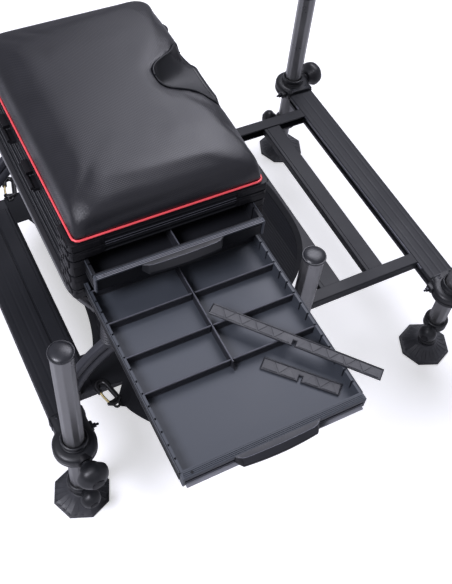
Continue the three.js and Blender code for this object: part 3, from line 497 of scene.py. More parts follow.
def make_finishes(look):
    """All the surfaces of the object, each named for what it is made of, or for the light or shade painted into it."""
    # Material, colour, roughness, metal, shine, then the drift's depth and size in mm, then the grain's
    table = {
        # Soft vinyl cord: even red with a soft shine
        "piping": ("red_vinyl_cord", look.piping, 0.34, 0.0, 0.5, 0.08, 15, 0.1, 1.5),
        # Glass-filled nylon, moulded with a spark-eroded texture: near black and dull
        "nylon": ("moulded_nylon", "141417", 0.5, 0.0, 0.2, 0.16, 25, 0.2, 1.1),
        # The same nylon on the big grips and clamps, handled smooth: a satin shine
        "grip": ("satin_nylon", "1b1c1f", 0.4, 0.0, 0.42, 0.14, 20, 0.14, 1.3),
        # Glossy nylon where the seat's rest meets the vinyl
        "gloss": ("polished_nylon", "131316", 0.24, 0.0, 0.5, 0.1, 20, 0.05, 2.0),
        # Black anodised aluminium, extruded: fine lines along its run and a faint metal sheen
        "profile": ("anodised_profile", "18191c", 0.44, 0.2, 0.22, 0.1, 80, 0.04, 1.2),
        # The same profile made pale along thin edges and lines: painted highlight
        "edge": ("rubbed_edge", "54555d", 0.34, 0.4, 0.5, 0.2, 30, 0.1, 1.2),
        # ABS, moulded with a polished face: dark blue-grey and satin, with broad flow marks
        "abs": ("satin_abs", look.drawer, 0.5, 0.0, 0.42, 0.08, 130, 0.05, 1.6),
        # The same ABS made darker on the drawers' outer faces and on faces turned from the light: painted shade
        "abs_side_shade": ("dull_abs", "17181b", 0.5, 0.0, 0.2, 0.12, 60, 0.1, 1.4),
        # The same ABS made darker in the upper drawer: painted shade under the seat
        "abs_seat_shade": ("unfaded_abs", "1c1d21", 0.44, 0.0, 0.34, 0.08, 90, 0.06, 1.6),
        # The same ABS made pale along the fronts' skirts and the ledge's lines: painted highlight
        "abs_light_lines": ("worn_abs", "85868c", 0.42, 0.0, 0.45, 0.12, 30, 0.08, 1.2),
        # The same ABS made paler along the dividers' top edges and the lower front's face band: painted highlight
        "abs_highlight": ("rubbed_abs", "55565e", 0.4, 0.0, 0.5, 0.14, 20, 0.08, 1.2),
        # The same ABS on small parts, with a fine texture
        "abs_fine": ("textured_abs", "26272c", 0.42, 0.0, 0.45, 0.12, 30, 0.1, 1.2),
        # Powder coat on aluminium: fine orange peel and a low satin shine
        "coat": ("powder_coat", look.frame, 0.5, 0.0, 0.3, 0.08, 120, 0.16, 1.8),
        # The same coat made paler on the arches' castings: painted highlight
        "coat_light": ("dull_powder_coat", "33343a", 0.46, 0.0, 0.45, 0.1, 90, 0.2, 1.8),
        # Dark anodised tube, drawn: a soft metal sheen with faint lines along it
        "tube": ("anodised_tube", look.leg, 0.32, 0.65, 0.5, 0.08, 50, 0.08, 1.2),
        # Gloss enamel on bent steel tube: wet-looking highlights
        "enamel": ("gloss_enamel", "141417", 0.2, 0.0, 0.5, 0.06, 60, 0.05, 3.0),
        # Natural rubber with a matt moulded face
        "rubber": ("moulded_rubber", "333438", 0.46, 0.0, 0.5, 0.2, 22, 0.25, 1.4),
        # Polyester webbing, woven: matt black with a close rib
        "webbing": ("woven_webbing", "1a1b1e", 0.8, 0.0, 0.2, 0.15, 12, 0.5, 1.5),
        # Blackened steel screws
        "screw": ("blackened_steel", "303136", 0.32, 0.8, 0.5, 0.1, 4, 0.1, 0.6),
        # Zinc-plated spring wire: pale gold and shiny
        "zinc": ("zinc_wire", "dcc992", 0.3, 0.7, 0.5, 0.1, 6, 0.1, 0.8),
        # Moulded cap of a leg: grey nylon that the weather has dulled
        "cap": ("weathered_nylon", "212226", 0.34, 0.0, 0.5, 0.14, 14, 0.12, 1.2),
        # Cast alloy, painted black: soft highlights
        "alloy": ("painted_alloy", "141416", 0.34, 0.2, 0.5, 0.12, 8, 0.15, 1.0),
        # Lining of the rest: smooth moulded rubber
        "lining": ("smooth_lining", "1a1b1e", 0.44, 0.0, 0.32, 0.1, 30, 0.08, 1.4),
    }
    more = {
        "profile": {"stretch": (0.02, 0.02, 1)},
        "abs": {"uneven": 0.05},
        "tube": {"stretch": (1, 1, 0.02)},
        "enamel": {"coat": 0.5},
    }
    made = {"vinyl": vinyl(list(look.vinyl)), "netting": netting(linear("1b1c20"))}
    for key, (name, colour, *settings) in table.items():
        tone = linear(colour) if isinstance(colour, str) else list(colour)
        made[key] = new_finish(name, tone, *settings, **more.get(key, {}))[0]
    return made


# Box

HALF_Y = 214.0
MOULDING_REACH = 45.0
MOULDING_X = 158.0
# Half width that a plate beside an opening keeps clear for the drawer
OPENING_CLEAR = 143.5
# Sections that are open on the drawers' side
OPEN_SECTIONS = ("base_frame", "lower_case", "upper_case")
# What lies further out than this is moulding, and what lies within is profile
INSIDE_X, INSIDE_Y = 149, 212.6
# A section lower than this has a pale line along it: painted highlight
THIN_SECTION = 25
# Depth of the joint between lid and tray under the seat pad's foot
JOINT_DROP = 17.3


def profile_strip(name, z0, z1, length, face, axis, side, depth):
    """A ribbed aluminium profile on one face of the box, between two mouldings."""
    shares = [
        (0, 0), (0, 0.9), (0.12, 1), (0.15, 0.3), (0.46, 0.3), (0.5, 0.85), (0.62, 0.85), (0.66, 0.2), (0.86, 0.2),
        (0.9, 0.9), (1, 0.8), (1, 0),
    ]
    outline = [(side * (face - 0.4 + out * depth), z0 + rise * (z1 - z0)) for rise, out in shares]
    return extruded(name, outline, -length, length, axis)


def corner_plates(name, z0, z1, sx, sy, opening=False):
    """Stepped plates on each face of a corner moulding, which leave the lock's zigzag between them."""
    parts = []
    middle = (z0 + z1) / 2
    reach = MOULDING_REACH - 3
    # Start and end across the face, then bottom and top, as shares of the moulding
    steps = [(0.08, 0.46, 0.5, 0.93), (0.3, 0.7, 0.08, 0.46), (0.56, 0.95, 0.52, 0.9), (0.8, 0.97, 0.1, 0.4)]
    for start, end, bottom, top in steps:
        low, high = z0 + (z1 - z0) * bottom, z0 + (z1 - z0) * top
        near, far = sy * (HALF_Y - 2 - reach * start), sy * (HALF_Y - 2 - reach * end)
        parts.append(slab(name, sx * (MOULDING_X - 1), sx * (MOULDING_X + 1.7), near, far, low, high, 0.7))
    # Beside an opening the plate stops short of the drawer
    x0, x1 = sx * (MOULDING_X - 4), sx * (OPENING_CLEAR if opening else MOULDING_X - 5 - reach)
    parts.append(slab(name, x0, x1, sy * (HALF_Y - 0.6), sy * (HALF_Y + 0.5), z0 + 1.4, middle + 3, 0.5))
    return parts


def make_box():
    """The five stacked sections: their mouldings, profiles and corner locks."""
    split = pad_low.z - JOINT_DROP
    for node in OPEN_SECTIONS + ("tray_frame", "lid_frame"):
        low, high = box_mm(node)
        z0 = split if node == "lid_frame" else low.z
        z1 = split - 0.3 if node == "tray_frame" else high.z
        form = dressed(node, 1.0)
        finished(form, "nylon", "profile")
        for face in form.data.polygons:
            middle = (face.center - CENTRE) / MM
            outside = abs(middle.x) > INSIDE_X or abs(middle.y) > INSIDE_Y
            face.material_index = 0 if outside else 1
        parts = [(form, None)]
        for side in (-1, 1):
            parts.append((profile_strip(node, z0 + 1.2, z1 - 1.2, 168.5, 148, "y", side, 4.6), "profile"))
            if side > 0 or node not in OPEN_SECTIONS:
                parts.append((profile_strip(node, z0 + 1.2, z1 - 1.2, 104.5, 212, "x", side, 2.2), "profile"))
                if z1 - z0 < THIN_SECTION:
                    # A pale rib along the thin section: painted highlight
                    level = z0 + (z1 - z0) * (0.16 if node == "lid_frame" else 0.9)
                    line = [(x, side * 213.9, level) for x in (-104.4, 104.4)]
                    parts.append((ribs("edges", [line], 0.45, "edge", 6), "edge"))
            for sy in (-1, 1):
                opening = sy < 0 and node in OPEN_SECTIONS
                parts += [(plate, "nylon") for plate in corner_plates(node, z0, z1, side, sy, opening)]
        body = "lid" if node == "lid_frame" else "frame"
        completed(merged(node + "_section", parts), body, "grey_moulding", node)


# Seat

pad_low, pad_high = box_mm("seat_pad")
PAD_X, PAD_Y = pad_high.x, pad_high.y
PAD_FOOT, PAD_HEIGHT = pad_low.z, pad_high.z - pad_low.z
# Rises and insets of the pad's side, as shares of its height
PAD_RINGS = [
    (0, 0.02), (0.04, 0.0), (0.1, -0.006), (0.2, -0.004), (0.34, 0.004), (0.5, 0.024), (0.64, 0.072), (0.76, 0.16),
    (0.85, 0.28), (0.915, 0.44), (0.96, 0.68), (0.988, 1.04),
]
# Half the rest's plan, from the middle of its back to its flared front end
REST_POINTS = [
    (70, 0), (70.6, -9), (74, -21), (84, -31), (103, -41), (117, -49), (126, -60), (134, -72), (143, -80), (151, -84),
]
# Edge of the voxels in metres, and frames for which the cloth is blown up
PAD_VOXEL, CLOTH_FRAMES = 0.0042, 20


def rest_half(x):
    """Half the rest's width at a distance x, from its plan."""
    for (a, u), (b, v) in zip(REST_POINTS, REST_POINTS[1:]):
        if x <= b:
            return -(u + (v - u) * max(x - a, 0) / (b - a))
    return -REST_POINTS[-1][1]


def rounded_loop(half_x, half_y, radius, steps):
    """Points round a rounded rectangle, the same number at every size."""
    points = []
    for corner, (sx, sy) in enumerate(((1, -1), (1, 1), (-1, 1), (-1, -1))):
        for i in range(steps + 1):
            angle = (corner - 1 + i / steps) * math.pi / 2
            points.append(
                (sx * (half_x - radius) + radius * math.cos(angle), sy * (half_y - radius) + radius * math.sin(angle))
            )
    return points


def even_loop(half_x, half_y, radius, pitch):
    """The same outline with its points an even distance apart."""
    rough = [Vector(p) for p in rounded_loop(half_x, half_y, radius, 12)]
    lengths = [(rough[(i + 1) % len(rough)] - rough[i]).length for i in range(len(rough))]
    count = round(sum(lengths) / pitch)
    step = sum(lengths) / count
    points, i, walked = [], 0, 0.0
    for k in range(count):
        while k * step > walked + lengths[i]:
            walked += lengths[i]
            i += 1
        share = (k * step - walked) / lengths[i]
        points.append(tuple(rough[i].lerp(rough[(i + 1) % len(rough)], share)))
    return points


def rest_line(inset, steps=6):
    """Plan of the rest: a smooth line from its flared right end round its back to its left end."""
    half = [Vector(p) for p in REST_POINTS]
    points = []
    for i in range(len(half) - 1):
        before = half[i - 1] if i else Vector((half[1].x, -half[1].y))
        after = half[i + 2] if i + 2 < len(half) else half[i + 1] * 2 - half[i]
        points += [smooth_point(before, half[i], half[i + 1], after, k / steps) for k in range(steps)]
    points.append(half[-1])
    line = [Vector((p.x, p.y)) for p in reversed(points)] + [Vector((p.x, -p.y)) for p in points[1:]]
    moved = []
    for i, p in enumerate(line):
        run = (line[min(i + 1, len(line) - 1)] - line[max(i - 1, 0)]).normalized()
        # The rest lies to the right of the run
        moved.append(p + Vector((run.y, -run.x)) * inset)
    return [(p.x, p.y) for p in moved]


def smooth_rings(count):
    """More rings between the pad's given ones, on a smooth line."""
    rings = PAD_RINGS + [(1.0, 1.75)]
    result = []
    for k in range(count + 1):
        place = k / count * (len(rings) - 1)
        i = min(int(place), len(rings) - 2)
        near = [Vector(rings[min(max(j, 0), len(rings) - 1)]) for j in (i - 1, i, i + 1, i + 2)]
        result.append(smooth_point(*near, place - i))
    return result


def pad_blank(shrink):
    """The crowned pad before its rest is cut out. Its upright corners are tight at the seam and open out upwards."""
    rings = []
    for rise, share in smooth_rings(44):
        inset = share * PAD_HEIGHT + shrink * clamped((rise - 0.1) / 0.3)
        opening = clamped((rise - 0.2) / 0.6)
        radius = 8.5 + 13 * opening * opening * (3 - 2 * opening) + inset * 0.9
        level = PAD_FOOT + 0.3 + min(rise, 1.0) * (PAD_HEIGHT - shrink)
        rings.append([(x, y, level) for x, y in rounded_loop(PAD_X - inset, PAD_Y - inset, radius, 12)])
    return lofted("seat_cushion", rings)


def make_pad(look):
    """The padded seat: blown up as cloth, cut for the rest, with puckers along its seam."""
    pad = pad_blank(1.2)
    tool = extruded("rest_cut", [(190, -110)] + rest_line(-0.4) + [(190, 110)], PAD_FOOT + 5, PAD_FOOT + 90, "z")
    cut = pad.modifiers.new("rest", "BOOLEAN")
    cut.object = tool
    cut.operation = "DIFFERENCE"
    cut.solver = "EXACT"
    bake(pad)
    bpy.data.objects.remove(tool)
    remesh = pad.modifiers.new("even", "REMESH")
    remesh.mode = "VOXEL"
    remesh.voxel_size = PAD_VOXEL
    bake(pad)
    rest = [v.co.copy() for v in pad.data.vertices]
    held = pad.vertex_groups.new(name="held")
    for v in pad.data.vertices:
        x, y, z = (v.co - CENTRE) / MM
        if z < PAD_FOOT + 7 or (x > 60 and abs(y) < 98 and near_rest(x, y, 9)):
            held.add([v.index], 1.0, "REPLACE")
    cloth = pad.modifiers.new("cloth", "CLOTH")
    cloth.settings.quality = 6
    cloth.settings.use_pressure = True
    cloth.settings.uniform_pressure_force = 4
    cloth.settings.effector_weights.gravity = 0
    cloth.settings.vertex_group_mass = "held"
    cloth.point_cache.frame_start = 1
    cloth.point_cache.frame_end = CLOTH_FRAMES
    scene = bpy.context.scene
    for step in range(1, CLOTH_FRAMES + 1):
        scene.frame_set(step)
    bake(pad)
    for v, start in zip(pad.data.vertices, rest):
        move = v.co - start
        if move.length > look.swell:
            v.co = start + move * look.swell / move.length
    scene.frame_set(1)
    pad.vertex_groups.clear()
    softer = pad.modifiers.new("softer", "SMOOTH")
    softer.factor = 0.5
    softer.iterations = 8
    finer = pad.modifiers.new("finer", "SUBSURF")
    finer.levels = finer.render_levels = 1
    bake(pad)
    pucker(pad)
    weave = pad.data.uv_layers.new(name="weave")
    for loop in pad.data.loops:
        x, y, z = (pad.data.vertices[loop.vertex_index].co - CENTRE) / MM
        inner = Vector((max(min(x, PAD_X - 30), 30 - PAD_X), max(min(y, PAD_Y - 30), 30 - PAD_Y)))
        out = Vector((x, y)) - inner
        drop = max(PAD_FOOT + PAD_HEIGHT - z, 0)
        spread = out.normalized() * (out.length + drop * min(out.length / 24, 1)) if out.length > 0.01 else out
        weave.data[loop.index].uv = (inner + spread) * MM
    pad.data.materials.clear()
    finished(pad, "vinyl")
    completed(pad, "lid", "seat_vinyl", "seat_pad", sharp=math.radians(70), weighted=False)
    return pad


def near_rest(x, y, reach):
    """Whether a plan point lies within reach of the rest's line, in millimetres."""
    return any((x - u) ** 2 + (y - v) ** 2 < reach * reach for u, v in rest_line(0, steps=3))


def pucker(pad):
    """Small pleats that the seam draws into the vinyl, strongest round the corners."""
    for v in pad.data.vertices:
        x, y, z = (v.co - CENTRE) / MM
        rise = (z - PAD_FOOT - 6) / 20
        if not 0 < rise < 1:
            continue
        near = max(0.0, 1 - math.hypot(PAD_X - abs(x), PAD_Y - abs(y)) / 60)
        along = x if abs(y) / PAD_Y > abs(x) / PAD_X else y
        wave = noise.noise(Vector((along / 7.0, 3.1 if along == x else 9.7, 0.4)))
        depth = (0.25 + 0.75 * near) * (1 - rise) ** 2 * min(rise * 6, 1) * 1.1
        out = Vector((x, y, 0)).normalized()
        v.co += out * wave * depth * MM


def make_piping(look):
    """The cord in the seam between the pad and its base."""
    low, high = box_mm("seat_piping")
    level = (low.z + high.z) / 2
    radius = look.cord / MM
    loop = [(x, y, level) for x, y in even_loop(148.9, 211.7, 9.5, 5)]
    cord = swept("seat_piping_cord", loop, lambda share: circle(radius, 16), (0, 0, 1), closed=True)
    finished(cord, "piping")
    completed(cord, "lid", "piping", "seat_piping", weighted=False)
    line = [(x, y, level - radius - 0.6) for x, y in even_loop(147.6, 210.4, 10, 5)]
    seam = swept("seat_base_seam", line, lambda share: circle(1.6, 8), (0, 0, 1), closed=True)
    finished(seam, "webbing")
    completed(seam, "lid", "seat_vinyl", weighted=False)


def make_rest(pad):
    """The moulded rest at the seat's front edge: a smooth saddle that runs out into a tongue."""
    tree = BVHTree.FromObject(pad, bpy.context.evaluated_depsgraph_get())
    foot = PAD_FOOT + 11
    start, end, columns, rows = 70.4, 150.5, 44, 33

    def pad_level(x, y):
        """Height of the pad just outside the rest's line."""
        hit = tree.ray_cast(Vector((min(x, PAD_X - 3), y, PAD_FOOT + 90)) * MM + CENTRE, Vector((0, 0, -1)))[0]
        return (hit - CENTRE).z / MM if hit else foot + 4

    stations = [start + (end - start) * (k / columns) ** 1.3 for k in range(columns + 1)]
    halves = [rest_half(x) for x in stations]
    for _ in range(4):
        inside = [(a + 2 * b + c) / 4 for a, b, c in zip(halves, halves[1:], halves[2:])]
        halves = halves[:1] + inside + halves[-1:]
    halves = [half - 0.3 for half in halves]
    rims = [min(max(pad_level(x - 2, half + 6), foot + 3), PAD_FOOT + 56) - 0.8 for x, half in zip(stations, halves)]
    for _ in range(5):
        rims = [(rims[max(i - 1, 0)] + 2 * rims[i] + rims[min(i + 1, columns)]) / 4 for i in range(columns + 1)]
    top = []
    for x, half, rim in zip(stations, halves, rims):
        share = (x - start) / (end - start)
        back = min((x - start) / 15, 1)
        back = back * back * (3 - 2 * back)
        floor = PAD_FOOT + 28 - 13 * share**0.9
        floor = rim + (min(floor, rim - 0.5) - rim) * back
        row = []
        for k in range(rows + 1):
            s = math.sin((k / rows * 2 - 1) * math.pi / 2)
            y = half * s
            beyond = clamped((x - 136) / (end - 136))
            inside = clamped((80 - abs(y)) / 46)
            reach = 6.5 * beyond * beyond * inside * inside * (3 - 2 * inside)
            level = floor + (rim - floor) * abs(s) ** 2.4
            # The flange wraps down round the pad's front on both sides of the tongue
            wrap = clamped((abs(y) - 38) / 24) * beyond**1.5
            row.append((x + reach, y, max(level - 20 * wrap, foot + 1)))
        top.append(row)
    scoop = lofted("rest", [row + [(x, y, foot) for x, y, _ in reversed(row)] for row in top])
    finished(scoop, "lining", "nylon")
    # The flanks take the flange's moulded nylon; the back end below x 79 takes it too, darker than the lining, as
    # painted shade in its steep wall
    for face in scoop.data.polygons:
        middle = (face.center - CENTRE) / MM
        face.material_index = 1 if abs(middle.y) > 47 or middle.x < 79 else 0
    parts = [(scoop, None)]
    for last in (0, -1):
        rim = [(row[last][0], row[last][1], row[last][2] + 0.5) for row in top]
        parts.append((swept("rim", rim, lambda share: circle(1.5, 10), (0, 0, 1)), "lining"))
    front = [p for p in top[-1] if abs(p[1]) < 50]
    lip = swept("lip", [(x - 0.6, y, z - 0.6) for x, y, z in front], lambda share: circle(1.7, 10), (0, 0, 1))
    line = ribs("line", [[(x - 5.5, y, z + 0.9) for x, y, z in front if abs(y) < 36]], 0.6, "gloss", 6)
    parts += [(lip, "lining"), (line, "gloss")]
    piece = merged("pole_rest_scoop", parts)
    completed(piece, "lid", "moulded_plastic", "pole_rest", sharp=math.radians(55), weighted=False)


# Drawers


def handle(name, y, top, half=65.0, wall=3.0):
    """A bowed finger grip: a narrow top, a face that slopes outwards and mitred ends, hollow below."""
    rings = []
    for i in range(33):
        share = i / 16 - 1
        x = half * share
        bow = 11.5 + 4.5 * (1 - share * share)
        mitre = min((half - abs(x)) / 7, 1)
        out = 1.0 + (bow - 1.0) * mitre
        top_out = 0.8 + (bow * 0.42) * mitre
        deep = 15.0
        ring = [
            (1.5, 0.0), (-top_out, 0.3), (-top_out - 1.0, -0.2), (-out + 0.6, -9.0), (-out, -10.4), (-out, -deep + 1),
            (-out + 1, -deep), (-max(out - wall, 0.2), -deep), (-max(out - wall, 0.2), -10.6),
            (-max(top_out - 1.5, 0.1), -wall), (1.5, -wall),
        ]
        rings.append([(x, y + v, top + w) for v, w in ring])
    return bevelled(lofted(name, rings), 0.45, 2, 35)


def drawer_front(name, half, y0, y1, z0, z1, ledge):
    """Outline of a drawer's front in Y and Z, run across the drawer: ribs on its top and a stepped face."""
    depth = y1 - y0
    top = []
    for share in (0.26, 0.5, 0.74):
        y = y0 + depth * share
        top += [(y - 0.7, z1), (y - 0.5, z1 - 1.1), (y + 0.5, z1 - 1.1), (y + 0.7, z1)]
    if ledge:
        # The upper front has a wide ribbed ledge over a dark groove
        face = [(y0 + 2.2, z0), (y0 + 2.2, z1 - 8.6), (y0 + 3.6, z1 - 7.8), (y0 + 3.6, z1 - 4.2), (y0 + 0.3, z1 - 3.6)]
    else:
        face = [
            (y0 + 1.6, z0), (y0 + 0.2, z0 + 1), (y0 + 0.2, z0 + 9.4), (y0 + 2.6, z0 + 10.4), (y0 + 2.6, z0 + 13.2),
            (y0, z0 + 14.2),
        ]
    outline = face + [(y0, z1 - 1.2), (y0 + 0.4, z1 - 0.35), (y0 + 1.2, z1)] + top + [(y1, z1), (y1, z0)]
    return extruded(name, outline, -half, half, "x")


def wall_flanges(name, x, side, y0, y1, z0, z1):
    """The two flanges along a drawer wall's outer face, which leave a groove between them. Their darker ABS is painted
    shade.
    """
    outline = [
        (0, z0), (0.7, z0 + 0.5), (0.7, z0 + 6.2), (0, z0 + 7.0), (-0.6, z0 + 7.4), (-0.6, z1 - 6.4), (0, z1 - 6.0),
        (0.9, z1 - 5.4), (0.9, z1 - 0.7), (0.4, z1 + 0.1), (-1.2, z1 + 0.1), (-1.2, z0),
    ]
    return bevelled(extruded(name, [(x + side * u, v) for u, v in outline], y0, y1, "y"), 0.25, 2)


def truss_parts(name, length, height, thick, notches, finish, rubbed, relief=0.45, spare=False):
    """An upright divider drawn about zero along X: a thin plate with a rim and raised triangles on both faces.

    notches gives (middle, half width, from the top?) of each slot where it crosses another divider."""
    half, core = length / 2, thick / 2 - relief - 0.05

    def edge(z, signs):
        """Outline of one long edge, with its notches."""
        row = []
        for middle, reach, from_top in sorted(notches, reverse=signs < 0):
            if from_top == (z > 0):
                near, far = middle - signs * reach, middle + signs * reach
                row += [(near, z), (near, 0), (far, 0), (far, z)]
        return row

    h = height / 2
    outline = [(-half, -h)] + edge(-h, 1) + [(half, -h), (half, h)] + edge(h, -1) + [(-half, h)]
    parts = [extruded(name, outline, -core, core, "y")]
    cuts = sorted(middle for middle, _, _ in notches)
    bounds = [-half] + cuts + [half]
    spans = [(a + (0.6 if a == -half else 3.2), b - (0.6 if b == half else 3.2)) for a, b in zip(bounds, bounds[1:])]
    pitch = height * 0.66
    wide, bottom, top = pitch * 0.8, -h + 2.4, h - 2.4
    triangle = [(-wide, bottom), (wide, bottom), (0, top)]
    wedge = bevelled(extruded("wedge", triangle, -relief * 0.8, relief * 0.8, "y"), relief * 0.5, 1)
    places = []
    for a, b in spans:
        count = max(int((b - a - 4) / pitch), 1)
        start = (a + b) / 2 - (count - 1) * pitch / 2
        for k in range(count):
            for side in (-1, 1):
                places.append(((start + k * pitch, side * core, 0), (0, math.pi * (k % 2), 0)))
    rim = []
    for side in (-1, 1):
        y = side * (core + relief * 0.4)
        if spare:
            # The rim of a loose divider follows its notch
            inset = 0.8
            end, rise = half - inset, h - inset
            line = [(-end, y, -rise)]
            for middle, reach, from_top in sorted(notches):
                if not from_top:
                    left, right = middle - reach - inset, middle + reach + inset
                    line += [(left, y, -rise), (left, y, inset), (right, y, inset), (right, y, -rise)]
            rim.append(line + [(end, y, -rise), (end, y, rise), (-end, y, rise), (-end, y, -rise)])
        else:
            for a, b in spans:
                line = [(a + 0.9, y, -h + 0.9), (b - 0.9, y, -h + 0.9), (b - 0.9, y, h - 0.9), (a + 0.9, y, h - 0.9)]
                rim.append(line + line[:1])
    parts.append(ribs(name, rim, relief * 1.5, finish, 6))
    parts.append(copies(name, at_zero(wedge), places, finish))
    # A rounded bead along the top edge between the notches, pale as painted highlight
    tops = []
    for a, b in spans if any(from_top for _, _, from_top in notches) else [(-half + 0.6, half - 0.6)]:
        tops.append([(a, 0, h - 0.5), (b, 0, h - 0.5)])
    bead = ribs(name, tops, thick * 0.4, rubbed, 8)
    return [(at_zero(part), finish) for part in parts] + [(at_zero(bead), rubbed)]


def put(parts, matrix):
    """Moves parts that were drawn about zero to their place."""
    for part, _ in parts:
        part.data.transform(Matrix.Translation(CENTRE) @ matrix)
    return parts


def placed_at(x, y, z, turn=0.0, tilt=0.0):
    """A place in millimetres, turned about Z and tilted about its own X."""
    return Matrix.Translation(Vector((x, y, z)) * MM) @ Matrix.Rotation(turn, 4, "Z") @ Matrix.Rotation(tilt, 4, "X")


def make_dividers():
    """The dividers of both drawers, those in place and the two spare ones."""
    # The pale finish on the top beads is painted highlight
    black, pale = "abs_fine", "abs_highlight"
    rows = []
    for k in range(1, 5):
        low, high = box_mm(f"cross_divider_{k}")
        rows.append((low.y + high.y) / 2)
        middle = (low + high) / 2
        parts = truss_parts("divider", high.x - low.x, high.z - low.z, high.y - low.y, [(0, 1.7, True)], black, pale)
        put(parts, placed_at(*middle))
        piece = merged(f"cross_divider_{k}_truss", parts)
        completed(piece, "lower_drawer", "divider_plastic", f"cross_divider_{k}")
    low, high = box_mm("centre_divider")
    middle = (low + high) / 2
    notches = [(y - middle.y, 1.7, False) for y in rows]
    parts = truss_parts("divider", high.y - low.y, high.z - low.z, high.x - low.x, notches, black, pale)
    put(parts, placed_at(*middle, turn=math.pi / 2))
    piece = merged("centre_divider_truss", parts)
    completed(piece, "lower_drawer", "divider_plastic", "centre_divider")
    low, high = box_mm("upper_drawer_divider")
    middle = (low + high) / 2
    parts = truss_parts("divider", high.y - low.y, high.z - low.z, high.x - low.x, [], black, pale)
    put(parts, placed_at(*middle, turn=math.pi / 2))
    piece = merged("upper_divider_truss", parts)
    completed(piece, "upper_drawer", "divider_plastic", "upper_drawer_divider")
    spares = (
        ("spare_divider_long", "loose_divider", (9.7, -329.3), (179.6, -529.5), 19.0),
        ("spare_divider_short", "lower_drawer", (41.7, -431.8), (121.8, -517.2), 20.0),
    )
    for node, body, start, end, width in spares:
        low, high = box_mm(node)
        run = Vector(end) - Vector(start)
        # A flat one lies on its face, with its notched edge to the left of its run
        parts = truss_parts("divider", run.length, width, high.z - low.z, [(0, 2.0, False)], black, pale, 0.8, True)
        middle = (Vector(start) + Vector(end)) / 2
        put(parts, placed_at(middle.x, middle.y, (low.z + high.z) / 2, math.atan2(run.y, run.x), -math.pi / 2))
        piece = merged(node + "_truss", parts)
        completed(piece, body, "divider_plastic", node)


def make_drawers():
    """Both drawers: the tray, its front with the bowed handle, and the ribs along its rims."""
    for kind in ("lower", "upper"):
        tray = dressed(f"{kind}_drawer_tray", 0.35, 2)
        low, high = box_mm(f"{kind}_drawer_tray")
        # The walls' outer faces take the darker ABS as painted shade, and the upper tray's darker ABS is painted shade
        # under the seat
        finished(tray, "abs" if kind == "lower" else "abs_seat_shade", "abs_side_shade")
        for face in tray.data.polygons:
            middle = (face.center - CENTRE) / MM
            face.material_index = 1 if abs(middle.x) > high.x - 0.5 and middle.z < high.z - 1 else 0
        parts = [(tray, None)]
        for side in (-1, 1):
            flange = wall_flanges("flanges", side * (high.x - 0.1), side, low.y + 0.5, high.y - 0.5, low.z, high.z)
            parts.append((flange, "abs_side_shade"))
            x = side * (high.x + 0.3)
            rim = [[(x, low.y + 1, high.z - 0.4), (x, high.y - 1, high.z - 0.4)]]
            parts.append((ribs("rims", rim, 0.75, "abs", 8), "abs"))
        completed(merged(f"{kind}_tray", parts), f"{kind}_drawer", "drawer_plastic", f"{kind}_drawer_tray")
        front_low, front_high = box_mm(f"{kind}_drawer_front")
        # The CAD front is as deep as its plate and its bow together
        face = low.y - (10.0 if kind == "lower" else 9.0)
        half = front_high.x
        panel = drawer_front("front", half - 1.2, face, low.y - 0.3, front_low.z, front_high.z, kind == "upper")
        finished(panel, "abs", "abs_side_shade", "abs_highlight")
        # Under its top the front takes the darker ABS as painted shade, and the lower front's bottom band the pale ABS
        # as painted highlight
        for part in panel.data.polygons:
            middle = (part.center - CENTRE) / MM
            below = 2 if kind == "lower" and middle.z < front_low.z + 9.8 else 1
            part.material_index = below if middle.z < front_high.z - 4.6 else 0
        grip = handle("grip", face, front_high.z - 0.2)
        finished(grip, "grip" if kind == "upper" else "abs_fine", "abs_side_shade")
        # The lower handle's faces that don't face upwards take the darker ABS: painted shade
        for part in grip.data.polygons:
            part.material_index = 1 if kind == "lower" and part.normal.z < 0.45 else 0
        # A pale rib along the handle's top outline: painted highlight
        shine = []
        for i in range(25):
            share = i / 12 - 1
            bow = (11.5 + 4.5 * (1 - share * share)) * 0.42 * min((1 - abs(share)) * 9, 1)
            shine.append((62 * share, face - bow - 1.5, front_high.z - 0.3))
        parts = [(panel, None), (grip, None), (ribs("shine", [shine], 0.5, "edge", 6), "edge")]
        if kind == "upper":
            # Fine extruded lines along the ledge, pale as painted highlight
            lines = [[(x, face + out, front_high.z - 0.1) for x in (3.6 - half, half - 3.6)] for out in (0.7, 3.2, 5.4)]
            parts.append((ribs("lines", lines, 0.5, "abs_light_lines", 6), "abs_light_lines"))
        else:
            # A pale skirt along the lower front: painted highlight
            skirt = slab(
                "skirt", 4 - half, half - 4, face - 5.0, face + 0.6, front_low.z + 1.2, front_low.z + 4.2, 0.8, 2
            )
            parts.append((skirt, "abs_light_lines"))
        for side in (-1, 1):
            x0, x1, y0, y1 = side * (half - 3.4), side * (half + 0.3), face - 0.6, low.y - 0.35
            parts.append((slab("end", x0, x1, y0, y1, front_low.z + 0.4, front_high.z + 0.3, 1.3, 3), "abs"))
        # A dark disc in the top for a hole: painted shade
        hole = turned(
            "hole", [(2.0, 0), (2.0, 0.35), (0, 0.35)], 16, (-half + 15, (face + low.y) / 2, front_high.z - 0.2)
        )
        parts.append((hole, "abs_side_shade"))
        completed(merged(f"{kind}_front", parts), f"{kind}_drawer", "drawer_plastic", f"{kind}_drawer_front")
    make_dividers()


# Frame


